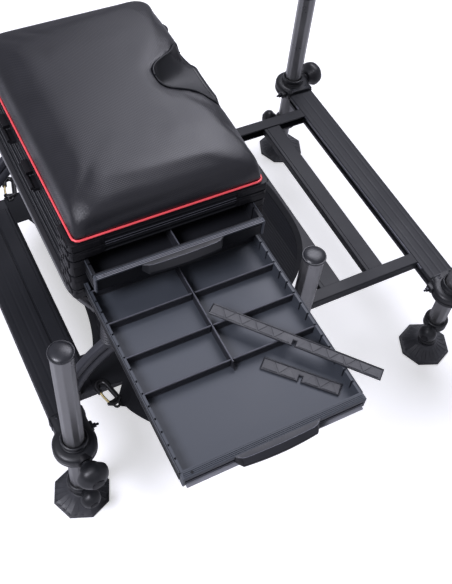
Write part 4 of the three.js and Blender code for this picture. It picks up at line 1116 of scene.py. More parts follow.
def beam_outline(x, top, width=56.0, height=26.0):
    """Section of a beam in X and Z: soft broad bands on top and a slot along each narrow side."""
    half, bottom = width / 2, top - height
    middle = (top + bottom) / 2
    corners = [(x - half, bottom, 3.2), (x + half, bottom, 3.2)]
    corners += [
        (x + half, middle - 4, 0.5), (x + half - 5, middle - 4, 0), (x + half - 5, middle + 4, 0),
        (x + half, middle + 4, 0.5),
    ]
    corners += [(x + half, top - 0.6, 2.6)]
    corners += [(x + half * 0.7, top - 0.15, 2), (x + half * 0.58, top - 0.4, 2), (x + half * 0.46, top - 0.1, 2)]
    corners += [(x + half * 0.12, top, 2), (x, top - 0.3, 2), (x - half * 0.12, top, 2)]
    corners += [(x - half * 0.46, top - 0.1, 2), (x - half * 0.58, top - 0.4, 2), (x - half * 0.7, top - 0.15, 2)]
    corners += [(x - half, top - 0.6, 2.6)]
    corners += [
        (x - half, middle + 4, 0.5), (x - half + 5, middle + 4, 0), (x - half + 5, middle - 4, 0),
        (x - half, middle - 4, 0.5),
    ]
    return rounded(corners, 4)


def make_beams():
    """The three cross beams with their end caps, the strip behind the net, and the footplate's two slats."""
    low, high = box_mm("front_beam")
    beam = extruded("beam", beam_outline((low.x + high.x) / 2, high.z), low.y + 1.2, high.y - 1.2, "y")
    x0, x1, z0, z1 = low.x + 0.4, high.x - 0.4, low.z + 0.4, high.z - 0.4
    section = rounded([(x0, z0, 3), (x1, z0, 3), (x1, z1, 3), (x0, z1, 3)])
    caps = [
        bevelled(extruded("cap", section, a, b, "y"), 0.8)
        for a, b in ((low.y, low.y + 1.4), (high.y - 1.4, high.y))
    ]
    # A pale flange strip runs beside the slot on the beam's inner side
    strip = slab("strip", low.x - 0.9, low.x + 1.6, low.y + 30, high.y - 30, high.z - 7.4, high.z - 2.4, 0.8)
    parts = [(beam, "coat"), (strip, "edge")] + [(cap, "nylon") for cap in caps]
    completed(merged("front_beam_profile", parts), "footplate", "coated_frame", "front_beam")
    low, high = box_mm("mid_beam")
    middle = (low.x + high.x) / 2
    beam = extruded("beam", beam_outline(middle, low.z + 26), low.y, high.y, "y")
    saddles = []
    for side in (-1, 1):
        for a, b, z0, z1 in ((200.4, 209.4, low.z + 22, high.z), (200.4, 217.8, high.z - 15, high.z)):
            saddles.append(slab("saddle", low.x, low.x + 18, side * a, side * b, z0, z1, 0.8))
    parts = [(beam, "coat")] + [(each, "nylon") for each in saddles]
    completed(merged("mid_beam_profile", parts), "frame", "coated_frame", "mid_beam")
    low, high = box_mm("rear_beam")
    beam = extruded("beam", beam_outline(low.x + 28, high.z), low.y, high.y, "y")
    x0, x1, z1 = low.x + 55, high.x, high.z
    z0 = z1 - 22
    outline = rounded(
        [
            (x0, z0, 0), (x1, z0, 1.5), (x1, z1, 1.2), (x1 - 3.5, z1, 0), (x1 - 3.9, z1 - 0.9, 0),
            (x1 - 4.6, z1 - 0.9, 0), (x1 - 5, z1, 0), (x1 - 8.6, z1, 0), (x1 - 9, z1 - 0.9, 0), (x1 - 9.8, z1 - 0.9, 0),
            (x1 - 10.2, z1, 0), (x0 + 4.4, z1, 0.6), (x0 + 4, z1 - 3, 0), (x0, z1 - 3, 0),
        ],
        3,
    )
    strip = extruded("strip", outline, -209.7, 209.7, "y")
    band = slab("band", x1 - 4.2, x1 + 0.6, -209, 209, z1 - 6, z1 + 0.9, 0.5)
    parts = [(beam, "coat"), (strip, "coat"), (band, "nylon")]
    completed(merged("rear_beam_profile", parts), "frame", "coated_frame", "rear_beam")
    for node in ("footplate_crossbar", "footplate_slat"):
        low, high = box_mm(node)
        corners = [(low.x, low.z, 1.6), (high.x, low.z, 1.6), (high.x, high.z, 2.2)]
        x = low.x + (high.x - low.x) * 0.18
        corners += [(x + 0.9, high.z, 0), (x + 0.5, high.z - 0.9, 0), (x - 0.5, high.z - 0.9, 0), (x - 0.9, high.z, 0)]
        corners += [(low.x, high.z, 2.2)]
        piece = extruded(node + "_profile", rounded(corners, 5), low.y, high.y, "y")
        finished(piece, "coat")
        completed(piece, "footplate", "coated_frame", node)


def make_rails():
    """The fixed side rails with their runners, and the footplate's channels that slide on them."""
    for hand, side in (("right", -1), ("left", 1)):
        low, high = box_mm(f"footplate_rail_{hand}")
        inner, outer = sorted((abs(low.y), abs(high.y)))
        z0, z1 = low.z, high.z
        corners = [
            (inner, z0, 0.8), (outer, z0, 2.4), (outer, z1, 2.4), (inner, z1, 1.2), (inner, z1 - 3.4, 0.6),
            (inner + 1.6, z1 - 3.4, 0), (inner + 1.6, z1 - 2.5, 0), (outer - 2.5, z1 - 2.5, 0.8),
            (outer - 2.5, z0 + 2.5, 0.8), (inner, z0 + 2.5, 0.4),
        ]
        outline = [(side * u, v) for u, v in rounded(corners, 4)]
        channel = extruded("channel", outline, low.x, high.x, "x")
        y0, y1 = side * (outer - 2.3), side * (outer + 0.3)
        stop = slab("stop", low.x - 0.6, low.x + 2.2, y0, y1, z0 + 0.3, z1 - 0.3, 0.6)
        piece = merged(f"footplate_channel_{hand}", [(channel, "coat"), (stop, "nylon")])
        completed(piece, "footplate", "coated_frame", f"footplate_rail_{hand}")
        rail = dressed(f"side_rail_{hand}", 0.9, 3)
        rail.name = f"side_rail_{hand}_profile"
        finished(rail, "coat")
        completed(rail, "frame", "coated_frame", f"side_rail_{hand}")


ARCH_FLAT = 50.0


def arch_point(foot, top, bottom, shares, t):
    """A point on one side of the arch's curve, from its foot at 0 to its flat top at 1."""
    rise, run = top - bottom, foot - ARCH_FLAT
    a, b = Vector((foot, bottom)), Vector((ARCH_FLAT + run * shares[0], bottom + rise * shares[1]))
    c, d = Vector((ARCH_FLAT + run * shares[2], top)), Vector((ARCH_FLAT, top))
    return bent_point(a, b, c, d, t)


def make_arches():
    """The arched side frames: a broad outer lobe, a dark groove, an inner lobe and the front lug."""
    steps = 30
    for hand, side in (("right", -1), ("left", 1)):
        low, high = box_mm(f"side_arch_{hand}")
        bottom, top = 209.3, high.z
        outer = [arch_point(211, top, bottom, (0.84, 0.56, 0.387), i / steps) for i in range(steps + 1)]
        inner = [arch_point(172, top - 45, bottom, (0.953, 0.382, 0.448), i / steps) for i in range(steps + 1)]
        pairs = list(zip(outer, inner))
        line = [((o.x, o.y), (i.x, i.y)) for o, i in pairs] + [((-o.x, o.y), (-i.x, i.y)) for o, i in reversed(pairs)]
        # Share of the way from the outer edge to the inner one, then how far the face stands out, in millimetres
        face = [
            (0.0, 3.2), (0.015, 5.2), (0.05, 6.5), (0.12, 7.0), (0.28, 7.0), (0.38, 6.4), (0.43, 5.0), (0.45, 3.0),
            (0.49, 3.0), (0.51, 4.6), (0.57, 5.8), (0.68, 6.6), (0.8, 6.6), (0.9, 5.9), (0.97, 4.6), (1.0, 3.0),
        ]
        middle = side * 228.0
        rings = []
        for (ox, oz), (ix, iz) in line:
            ring = [(ox + (ix - ox) * s, middle + out, oz + (iz - oz) * s) for s, out in face]
            ring += [(ox + (ix - ox) * s, middle - out, oz + (iz - oz) * s) for s, out in reversed(face)]
            rings.append(ring)
        arch = lofted("arch", rings)
        edge = max(abs(low.y), abs(high.y))
        lug = []
        for a, b, z0, z1 in ((221.3, edge, bottom + 0.6, bottom + 31.7), (235.3, edge, low.z, bottom + 31.7)):
            lug.append(slab("lug", 172, 211, side * a, side * b, z0, z1, 1.6, 3))
        y0, y1 = side * 220.6, side * 235.6
        feet = [slab("shoe", sx * 170.5, sx * 212.5, y0, y1, bottom, bottom + 11.7, 1.6, 3) for sx in (-1, 1)]
        turn = (-side * math.pi / 2, 0, 0)
        heads = [((x, side * (edge - 0.2), bottom + 19.7), turn) for x in (182, 201)]
        heads += [((-x, side * 235.4, bottom + 5.7), turn) for x in (180, 203)]
        screws = copies("screws", screw_head(4.2, 2.2), heads, "screw")
        # The arch takes the paler coat: painted highlight
        parts = [(arch, "coat_light")] + [(each, "nylon") for each in lug + feet] + [(screws, "screw")]
        completed(merged(f"side_arch_{hand}_lobes", parts), "frame", "coated_frame", f"side_arch_{hand}")


def make_hoops():
    """The tube hoops that carry the box, each end in a ribbed rubber boot on the arch."""
    for node, sign in (("hoop_rear", -1), ("hoop_front", 1)):
        level, foot_x, foot_y = box_mm(node)[1].z - 12, sign * 110.0, 228.0
        start = Vector((foot_x, -foot_y, 397))
        pull, end = Vector((sign * 147, -202, level)), Vector((sign * 147, -172, level))
        half = [Vector((foot_x, -foot_y, z)) for z in (330, 353, 373, 385)]
        half += [bent_point(start, start + Vector((0, 0, 30)), pull, end, i / 18) for i in range(19)]
        run = [Vector((sign * 147, -172 + 344 * i / 12, level)) for i in range(1, 12)]
        path = half + run + [Vector((p.x, -p.y, p.z)) for p in reversed(half)]
        tube = swept("tube", path, lambda share: circle(11.9, 28))
        parts = [(tube, "enamel")]
        for side in (-1, 1):
            foot = 344.0
            outline = [(0, foot - 12), (15.2, foot - 12), (15.6, foot)]
            for k in range(5):
                z = foot + 3 + k * 7.0
                wide = 15.6 - k * 0.3
                outline += [(wide - 2.2, z - 1.2), (wide, z + 0.8), (wide + 0.1, z + 2.6), (wide - 2.2, z + 4.4)]
            outline += [(12.9, foot + 38.5), (12.7, foot + 41), (11.4, foot + 41.4)]
            parts.append((turned("boot", outline, 32, (foot_x, side * foot_y, 0)), "rubber"))
        completed(merged(node + "_tube", parts), "frame", "hoop_tube", node, sharp=math.radians(50))


# Net

NET_LEVEL = 210.8


def net_point(u, v):
    """A point of the slack net, from its rear edge at u 0 to its curved front edge at 1."""
    across = v * 2 - 1
    front = 358 - 110 * abs(across) ** 3
    rear = -95 - 45 * abs(across) ** 3
    x = rear + u * (front - rear)
    slack_share = clamped((x + 95) / 185)
    slack = math.sin(math.pi * slack_share) * (1 - across * across) ** 2
    return Vector((x, across * 200, NET_LEVEL - 17 * slack))


def flap_point(side, u, v):
    """A point of a hanging side of the net, over the rail and down."""
    along = -88 + u * 208
    hang = 2 / 7
    swell = math.sin(math.pi * u)
    if v <= hang:
        return Vector((along, side * (186 + 53 * v / hang), NET_LEVEL))
    t = (v - hang) / (1 - hang)
    # The front half stays full nearly to its end
    out = (37 + 60 * max(swell, 0) ** (0.6 if u > 0.5 else 1.0)) * math.sin(t * math.pi / 2)
    drop = (13 + 88 * max(swell, 0) ** 0.7) * t**1.4
    return Vector((along - 22 * (1 - u * 2) * t, side * (239 + out), NET_LEVEL - drop))


def cloth_sheet(name, at, columns, rows, u0=0.0, u1=1.0, v0=0.0, v1=1.0, thick=0.0, ripple=0.0):
    """Cloth over a grid of points, with its own flat map. With a thickness it is a closed band."""
    grid = []
    for i in range(columns + 1):
        for j in range(rows + 1):
            u, v = u0 + (u1 - u0) * i / columns, v0 + (v1 - v0) * j / rows
            point = at(u, v)
            if ripple:
                inside = min(u, 1 - u, v, 1 - v) * 6
                broad = noise.noise(Vector((point.x / 45, point.y / 30, 1.7)))
                fold = broad + 0.6 * noise.noise(Vector((point.x / 18 + point.y / 60, 2.2, 0.3)))
                point = point + Vector((0, 0, ripple * min(inside, 1) * fold))
            grid.append(point)
    quads = []
    for i in range(columns):
        for j in range(rows):
            a = i * (rows + 1) + j
            quads.append([a, a + rows + 1, a + rows + 2, a + 1])
    mesh = bpy.data.meshes.new(name)
    mesh.from_pydata([p * MM + CENTRE for p in grid], [], quads)
    piece = linked(name, mesh)
    spread = mesh.uv_layers.new(name="weave")
    for loop in mesh.loops:
        point = grid[loop.vertex_index]
        spread.data[loop.index].uv = (point.x * MM, (abs(point.y) + (NET_LEVEL - point.z)) * MM)
    if thick:
        body = piece.modifiers.new("thick", "SOLIDIFY")
        body.thickness = thick * MM
        body.offset = 0
        bake(piece)
    return piece


def make_net():
    """The slack net under the box, its hanging sides and the webbing along its edges."""
    bed = cloth_sheet("net_bed", net_point, 90, 78, ripple=2.2)
    hems = [
        cloth_sheet("hem", net_point, 4, 90, 0.975, 1.003, 0, 1, 1.6),
        cloth_sheet("hem", net_point, 3, 60, -0.004, 0.022, 0, 1, 1.6),
    ]
    hems += [cloth_sheet("hem", net_point, 60, 3, 0, 1, a, b, 1.6) for a, b in ((0, 0.025), (0.975, 1))]
    for side in (-1, 1):
        # A corner of solid fabric reaches from the bed over the rail to the snap link
        inner = Vector((-148, side * 164, 211.8)), Vector((-84, side * 166, 211.4))
        outer = Vector((-148, side * 236, 210.6)), Vector((-80, side * 243, 210.4))

        def corner(u, v):
            """A point of the corner, between its two edges."""
            return inner[0].lerp(inner[1], u).lerp(outer[0].lerp(outer[1], u), v)

        hems.append(cloth_sheet("corner", corner, 12, 16, 0, 1, 0, 1, 1.2))
    finished(bed, "netting")
    hem = merged("net_bed_hem", [(each, "webbing") for each in hems])
    completed(hem, "frame", "net_fabric")
    completed(bed, "frame", "net_fabric", "under_net", weighted=False, sharp=math.radians(80))
    for hand, side in (("right", -1), ("left", 1)):
        flap = cloth_sheet(f"net_side_{hand}", lambda u, v: flap_point(side, u, v), 60, 44, ripple=1.2)
        finished(flap, "netting")
        # Columns, rows, then the span along and down, and the thickness: three hems, and the patch of
        # solid fabric that doubles the corner that the snap link pulls
        bands_of = (
            ("hem", 60, 3, 0, 1, 0.945, 1.004, 1.8),
            ("hem", 4, 40, -0.01, 0.045, 0, 1, 1.8),
            ("hem", 4, 40, 0.955, 1.01, 0, 1, 1.8),
            ("patch", 14, 20, 0.0, 0.26, 0.36, 0.97, 1.2),
        )
        edges = [cloth_sheet(kind, lambda u, v: flap_point(side, u, v), *span) for kind, *span in bands_of]
        # A gusset of the same fabric narrows from there to the link's swivel eye
        eye = Vector((-118, side * 279, 210.5))

        def gusset(u, v):
            """A point of the gusset, from the net's edge to the eye."""
            return flap_point(side, 0.02, 0.2 + 0.76 * v).lerp(eye + Vector((0, side * (v * 16 - 10), 0)), u)

        edges.append(cloth_sheet("gusset", gusset, 10, 14, 0, 1, 0, 1, 1.2))
        border = merged(f"net_side_{hand}_hem", [(each, "webbing") for each in edges])
        completed(border, "frame", "net_fabric")
        completed(flap, "frame", "net_fabric", weighted=False, sharp=math.radians(80))


def make_links():
    """The snap links at the net's rear corners: an open ring, its sprung gate, shackle and swivel eye."""
    for hand, side in (("right", -1), ("left", 1)):
        low, high = box_mm(f"snap_link_{hand}")
        middle = (low + high) / 2
        turn = Matrix.Rotation(side * math.radians(75.8), 3, "Z")

        def at(points):
            """Points drawn along the link, turned to its place. The first axis runs towards the leg."""
            return [turn @ Vector((x * side, y * side, z)) + middle for x, y, z in points]

        wide = 9.0
        turns = [math.pi * (k / 12 - 0.5) for k in range(13)]
        arm = [(-14 + 11 * k / 4, -wide, 0) for k in range(-1, 5)]
        bow = [(17 + 9.2 * math.cos(a), wide * math.sin(a), 0) for a in turns]
        neck = [(-16, -wide, 0), (-20, -5, 0), (-21, 0, 0), (-20, 5, 0), (-16, wide, 0)]
        turns = [2 * math.pi * k / 20 for k in range(20)]
        eye = [(-26 + 4.6 * math.cos(a), 4.6 * math.sin(a), 0) for a in turns]
        # Finish, line, radius, sides, and whether the line is a ring
        rods = (
            ("alloy", arm + bow + [(12, wide, 0), (8, wide, 0)], 4.8, 12, False),
            ("alloy", neck, 4.4, 12, False),
            ("alloy", [(-17, -12.5, 0), (-17, 12.5, 0)], 3.0, 12, False),
            ("alloy", eye, 2.4, 8, True),
            ("zinc", [(9, wide, 0), (-3, wide + 0.4, 0), (-17, wide - 0.6, 0)], 2.2, 10, False),
        )
        parts = []
        for key, line, radius, sides, ring in rods:
            rod = swept("rod", at(line), lambda share: circle(radius, sides), (0, 0, 1), closed=ring)
            parts.append((rod, key))
        completed(
            merged(f"snap_link_{hand}_hook", parts), "frame", "link_metal", f"snap_link_{hand}", sharp=math.radians(50)
        )


# Legs

# Directions of each leg's clamp knob and lock knob, in degrees from the front
LEGS = {
    "rear_right": (-84, -84),
    "rear_left": (84, 84),
    "mid_right": (-90, -84),
    "mid_left": (90, 84),
    "front_right": (-15, -150),
    "front_left": (15, 150),
}
# Profile of a pear-shaped knob: place along it, then width, as shares
KNOB_LINE = [
    (0, 0.3), (0.1, 0.32), (0.115, 0.5), (0.15, 0.56), (0.24, 0.66), (0.31, 0.8), (0.38, 0.92), (0.46, 0.99), (0.53, 1),
    (0.6, 0.99), (0.68, 0.95), (0.76, 0.87), (0.84, 0.74), (0.9, 0.6), (0.95, 0.43), (0.985, 0.24), (1, 0.0),
]


def leg_place(end):
    """A leg's middle, the top of its clamp's collar and the bottom of its lock collar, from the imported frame."""
    low, high = box_mm(f"foot_{end}")
    collar, lock = box_mm(f"leg_clamp_{end}")[1].z - 14, box_mm(f"leg_{end}")[0].z + 9
    return (low.x + high.x) / 2, (low.y + high.y) / 2, collar, lock


def pear(name, radius, length, start, axis, lobes):
    """A pear-shaped knob with finger flats, a groove behind its head and a disc on its end."""
    outline = [(0, 0)] + [(radius * wide, length * along) for along, wide in KNOB_LINE]
    knob = turned(
        name, outline, 72, start, axis,
        shape=lambda a, h: 1 - 0.03 * (0.5 + 0.5 * math.cos(lobes * a)) * (h > length * 0.3),
    )
    disc = turned(
        "disc",
        [
            (radius * 0.42, length * 0.955), (radius * 0.41, length * 0.975), (radius * 0.36, length * 0.985),
            (0, length * 1.002),
        ],
        40, start, axis,
    )
    return [(knob, "grip"), (disc, "nylon")]


def facets(count, depth):
    """Shape of a tube whose face is drawn in soft flat bands."""
    part = 2 * math.pi / count

    def shape(angle, height):
        """Scale of the radius at an angle."""
        flat = math.cos(part / 2) / math.cos(angle % part - part / 2)
        return 1 - depth + depth * (flat - math.cos(part / 2)) / (1 - math.cos(part / 2))

    return shape


def make_leg(end):
    """A leg tube with its domed cap, and the collar and knob that lock its foot."""
    x, y, _, lock = leg_place(end)
    top = box_mm(f"leg_{end}")[1].z
    tube = turned("tube", [(18.0, lock + 12), (18.0, top - 6.4)], 60, (x, y, 0), shape=facets(10, 0.05))
    cap = turned(
        "cap",
        [
            (17.4, top - 8), (19.3, top - 7.4), (19.5, top - 6.6), (19.5, top - 4.6), (19.0, top - 3.9),
            (18.0, top - 3.8), (17.5, top - 4.4), (16.9, top - 3.6), (14.5, top - 2.2), (11, top - 1.1), (6, top - 0.3),
            (0, top),
        ],
        48,
        (x, y, 0),
    )
    collar = turned(
        "collar",
        [
            (13.6, lock + 0.2), (22.6, lock), (24, lock + 1.4), (24, lock + 7.5), (23.2, lock + 8.2),
            (23.2, lock + 9.6), (24, lock + 10.3), (24, lock + 17), (22.4, lock + 19.4), (20, lock + 20),
            (18.4, lock + 20),
        ],
        48,
        (x, y, 0),
    )
    angle = math.radians(LEGS[end][1])
    axis = Vector((math.cos(angle), math.sin(angle), 0))
    parts = [(tube, "tube"), (cap, "cap"), (collar, "grip")]
    parts += pear("lock_knob", 19, 36, Vector((x, y, lock + 10)) + axis * 20, axis, 6)
    completed(
        merged(f"leg_{end}_tube", parts), f"leg_{end}", "leg_tube", f"leg_{end}", sharp=math.radians(45),
        weighted=False,
    )


def make_clamp(end):
    """The clamp that holds a leg on its beam: a collar with a sloping shoulder and a tall neck, and its arm."""
    x, y, level, _ = leg_place(end)
    kind = end.split("_")[0]
    side = math.copysign(1, y)
    beam_low, beam_high = box_mm(f"{kind}_beam")
    middle_x = beam_low.x + 28 if kind == "rear" else (beam_low.x + beam_high.x) / 2
    shift = middle_x - x
    inner = side * beam_high.y - y + side * 0.3
    bottom = level - 24.0

    def reach(angle, inset):
        """Distance from the leg's axis to the clamp's outline."""
        c, s = math.cos(angle), math.sin(angle)
        radius = 37.5 - inset
        if s * side < 0:
            half = 29.0 - inset
            limits = []
            if abs(s) > 1e-6:
                limits.append(abs(inner) / abs(s))
            if abs(c) > 1e-6:
                limits.append((shift + math.copysign(half, c)) / c)
            radius = max(radius, min(limits))
            radius = min(radius, abs(inner) / max(abs(s), 1e-6))
        return radius

    corners = [math.atan2(inner, shift + half) % (2 * math.pi) for half in (29, -29)]
    angles = sorted([2 * math.pi * k / 96 for k in range(96)] + corners)
    rows = [
        (2.2, bottom), (0.6, bottom + 0.7), (0, bottom + 2.2), (0, bottom + 7.0), (2.0, bottom + 7.8),
        (2.0, bottom + 9.4), (0, bottom + 10.2), (0, level - 6.5), (0.7, level - 4.4), (2.6, level - 2.4),
        (5.5, level - 1.0), (9.0, level - 0.2), (11.6, level),
    ]
    rings = [
        [(x + reach(a, inset) * math.cos(a), y + reach(a, inset) * math.sin(a), z) for a in angles]
        for inset, z in rows
    ]
    lip = [
        (24.4, level + 0.2), (23.4, level + 1.6), (23.1, level + 4.0), (22.2, level + 4.6), (22.2, level + 6.0),
        (23.0, level + 6.6), (23.0, level + 11.8), (22.2, level + 13.4), (20.6, level + 14), (19.2, level + 13.4),
        (18.5, level + 11), (18.5, bottom),
    ]
    rings += [[(x + radius * math.cos(a), y + radius * math.sin(a), z) for a in angles] for radius, z in lip]
    body = lofted("clamp", rings, closed=True)
    turn = math.radians(LEGS[end][0])
    axis = Vector((math.cos(turn), math.sin(turn), 0))
    boss = turned("boss", [(13, 28), (13, 37.2), (12.2, 38.4), (6, 38.5), (0, 38.5)], 32, (x, y, level - 12), axis)
    near_beam = y + inner - side * 0.4
    heads = [((x + shift + dx, near_beam + side * 9, level - 1.4), (0, 0, 0)) for dx in (-16, 16)]
    heads += [((x + shift + sx * 29.2, near_beam + side * 12, level - 12), (0, sx * math.pi / 2, 0)) for sx in (-1, 1)]
    screws = copies("screws", screw_head(3.8, 2.2), heads, "screw")
    parts = [(body, "grip"), (boss, "nylon"), (screws, "screw")]
    for sx in (-1, 1):
        # A long slot on the arm's shoulder and a rounded bracket plate against its side
        slot = [
            (x + shift + sx * 10, near_beam + side * 3.4, level - 0.4),
            (x + shift + sx * 24, near_beam + side * 3.4, level - 1.2),
        ]
        parts.append((ribs("slot", [slot], 1.5, "screw", 10), "screw"))
        x0, x1, y0, y1 = x + shift + sx * 27.6, x + shift + sx * 30.4, near_beam + side * 3, near_beam + side * 21
        parts.append((slab("plate", x0, x1, y0, y1, bottom + 3.5, level - 3.5, 1.3, 3), "grip"))
    # A lug with a hexagon bolt on the side that faces along the box
    turned_in = -math.copysign(1, x)
    lug_y = y - side * 20
    x0, x1 = x + turned_in * 30, x + turned_in * 40
    parts.append((slab("lug", x0, x1, lug_y - 8, lug_y + 8, bottom + 5, level - 6, 2.0, 3), "grip"))
    bolt = turned(
        "bolt", [(4.6, 0), (4.6, 4.6), (3.8, 5.2), (2.4, 5.2), (2.4, 9.6), (1.8, 10.2), (0, 10.2)], 6,
        (x + turned_in * 40, lug_y, level - 14), (turned_in, 0, 0),
    )
    parts.append((bolt, "screw"))
    body_name = "footplate" if kind == "front" else "frame"
    completed(
        merged(f"leg_clamp_{end}_collar", parts), body_name, "moulded_plastic", f"leg_clamp_{end}", weighted=False
    )


def make_knob(end):
    """The pear-shaped knob of a leg clamp, with shallow finger flats."""
    x, y, level, _ = leg_place(end)
    turn = math.radians(LEGS[end][0])
    axis = Vector((math.cos(turn), math.sin(turn), 0))
    parts = pear("pear", 27.5, 46, Vector((x, y, level - 12)) + axis * 38.8, axis, 7)
    piece = merged(f"clamp_knob_{end}_pear", parts)
    completed(piece, f"knob_{end}", "moulded_plastic", f"clamp_knob_{end}", sharp=math.radians(50), weighted=False)


def make_foot(end):
    """An octagonal mud foot with fanned ridges, on its telescopic stem."""
    x, y, *_ = leg_place(end)
    stem_top = box_mm(f"foot_{end}")[1].z
    part = math.pi / 4

    def octagon(angle):
        """Scale of the radius at an angle of an octagon."""
        return math.cos(part / 2) / math.cos(angle % part - part / 2)

    def ring(radius, z, fold=0.0):
        """One ring of the dish, square at the rim and round at the hub, with three steps in each facet."""
        points = []
        for k in range(192):
            angle = 2 * math.pi * k / 192
            sharpness = clamped((radius - 20) / 24)
            reach = radius * (1 + sharpness * (octagon(angle) - 1))
            lift = fold * (angle % (part / 3)) / (part / 3)
            points.append((x + reach * math.cos(angle), y + reach * math.sin(angle), z - lift))
        return points

    rings = [
        ring(52.6, 0.2), ring(53.8, 1.2), ring(54, 2.4), ring(54, 4.2), ring(53.2, 5.4), ring(50.4, 6.2),
        ring(48.6, 6.6, 0.8),
    ]
    rings += [
        ring(42, 10.2, 1.3), ring(34, 14.6, 1.6), ring(28, 18.2, 1.3), ring(24.0, 21.2, 0.7), ring(21.2, 23.8),
        ring(20, 25.4), ring(17.5, 26), ring(13.6, 26.3),
    ]
    dish = lofted("dish", rings)
    stem = turned("stem", [(13, 24), (13, stem_top - 1), (12.2, stem_top), (0, stem_top)], 36, (x, y, 0))
    ball = turned("ball", [(17.4, 25.6), (18.6, 28), (18.2, 31.5), (16.4, 34), (13, 35.4)], 40, (x, y, 0))
    parts = [(dish, "rubber"), (stem, "tube"), (ball, "grip")]
    completed(
        merged(f"foot_{end}_dish", parts), f"foot_{end}", "foot_rubber", f"foot_{end}", sharp=math.radians(28),
        weighted=False,
    )


# Stage

# Half the floor's size in metres, and the camera's place in millimetres, solved from the photograph
FLOOR = 9.0
EYE = (-360.503, -924.859, 1521.466)


def mixed(tree, factor, first, second):
    """The first shader where the factor is 0 and the second where it is 1."""
    return add(tree, "ShaderNodeMixShader", {"Fac": factor, 1: first, 2: second}).outputs["Shader"]


def make_stage(look):
    """A pale floor, a white surround, soft lamps and the camera."""
    scene = bpy.context.scene
    scene.view_settings.view_transform = "Standard"
    mesh = bpy.data.meshes.new("floor")
    corners = [(-FLOOR, -FLOOR, 0), (FLOOR, -FLOOR, 0), (FLOOR, FLOOR, 0), (-FLOOR, FLOOR, 0)]
    mesh.from_pydata(corners, [], [(0, 1, 2, 3)])
    floor = linked("floor", mesh)
    paint = bpy.data.materials.new("matt_white_paint")
    paint.use_nodes = True
    tree = paint.node_tree
    shader = tree.nodes["Principled BSDF"]
    shader.inputs["Base Color"].default_value = linear("f0f0f4")
    shader.inputs["Roughness"].default_value = 0.9
    shader.inputs["Specular IOR Level"].default_value = 0.0
    rays = add(tree, "ShaderNodeLightPath")
    glow = add(tree, "ShaderNodeEmission", {"Color": linear("ffffff"), "Strength": look.floor_glow})
    lit = add(tree, "ShaderNodeAddShader", {0: shader.outputs["BSDF"], 1: glow.outputs["Emission"]})
    choice = mixed(tree, rays.outputs["Is Camera Ray"], shader.outputs["BSDF"], lit.outputs["Shader"])
    tree.links.new(choice, tree.nodes["Material Output"].inputs["Surface"])
    mesh.materials.append(paint)

    world = bpy.data.worlds.new("studio")
    scene.world = world
    world.use_nodes = True
    tree = world.node_tree
    rays = add(tree, "ShaderNodeLightPath")
    inputs = {0: rays.outputs["Is Camera Ray"], 1: rays.outputs["Is Transmission Ray"]}
    seen = add(tree, "ShaderNodeMath", inputs, operation="MAXIMUM")
    white = tree.nodes["Background"]
    white.inputs["Color"].default_value = linear("ffffff")
    white.inputs["Strength"].default_value = 1.0
    fill = add(tree, "ShaderNodeBackground", {"Color": linear("ececf8"), "Strength": look.fill})
    shine = add(tree, "ShaderNodeBackground", {"Color": linear("ececfa"), "Strength": look.shine})
    glossy = mixed(tree, rays.outputs["Is Glossy Ray"], fill.outputs["Background"], shine.outputs["Background"])
    both = mixed(tree, seen.outputs["Value"], glossy, white.outputs["Background"])
    tree.links.new(both, tree.nodes["World Output"].inputs["Surface"])

    target = CENTRE + Vector((0.05, -0.1, 0.4))
    # Where each soft lamp stands from the object, its size and its power
    lamps = [
        ("back_top", (0.95, 0.8, 1.75), (1.5, 1.3), look.key_light),
        ("left_side", (-1.45, -0.5, 1.6), (0.8, 0.8), look.side_light),
        ("front_low", (0.3, -2.2, 1.2), (1.8, 0.8), look.front_light),
    ]
    for name, offset, (wide, tall), power in lamps:
        data = bpy.data.lights.new(name, "AREA")
        data.shape = "RECTANGLE"
        data.size, data.size_y = wide, tall
        data.energy = power
        data.color = linear("eeeefa")[:3]
        lamp = linked(name, data)
        lamp.location = target + Vector(offset)
        lamp.rotation_euler = (-Vector(offset)).to_track_quat("-Z", "Y").to_euler()

    data = bpy.data.cameras.new("camera")
    data.lens = look.lens
    data.clip_start = 0.05
    data.clip_end = 60
    camera = linked("camera", data)
    yaw, pitch, roll = math.radians(look.yaw), math.radians(look.pitch), math.radians(look.roll)
    ahead = Vector((math.sin(yaw) * math.cos(pitch), math.cos(yaw) * math.cos(pitch), math.sin(pitch)))
    right = Vector((math.cos(yaw), -math.sin(yaw), 0))
    up = right.cross(ahead)
    tilted_right = right * math.cos(roll) + up * math.sin(roll)
    tilted_up = up * math.cos(roll) - right * math.sin(roll)
    place = Vector(EYE) * MM + CENTRE
    camera.matrix_world = Matrix(
        [[tilted_right[i], tilted_up[i], -ahead[i], place[i]] for i in range(3)] + [[0, 0, 0, 1]]
    )
    scene.camera = camera


# Add-on classes


def colour_property(name, description, value):
    """A colour setting with an sRGB hex value."""
    return FloatVectorProperty(
        name=name, description=description, subtype="COLOR", size=4, min=0, max=1, default=linear(value)
    )


class SeatLook(bpy.types.PropertyGroup):
    """Sizes and colours of the pieces"""

    vinyl: colour_property("Vinyl", "Colour of the seat's vinyl", "1c1c20")
    piping: colour_property("Piping", "Colour of the cord round the seat", "ff5960")
    drawer: colour_property("Drawers", "Colour of the drawers' plastic", "3d4148")
    frame: colour_property("Frame", "Colour of the beams and rails", "232428")
    leg: colour_property("Legs", "Colour of the leg tubes", "757576")
    cord: FloatProperty(
        name="Piping radius", description="Radius of the cord round the seat", default=0.0018, min=0.0005, max=0.004,
        unit="LENGTH",
    )
    swell: FloatProperty(
        name="Swell", description="How far the pad's cover may swell", default=0.0022, min=0.0, max=0.02, unit="LENGTH"
    )


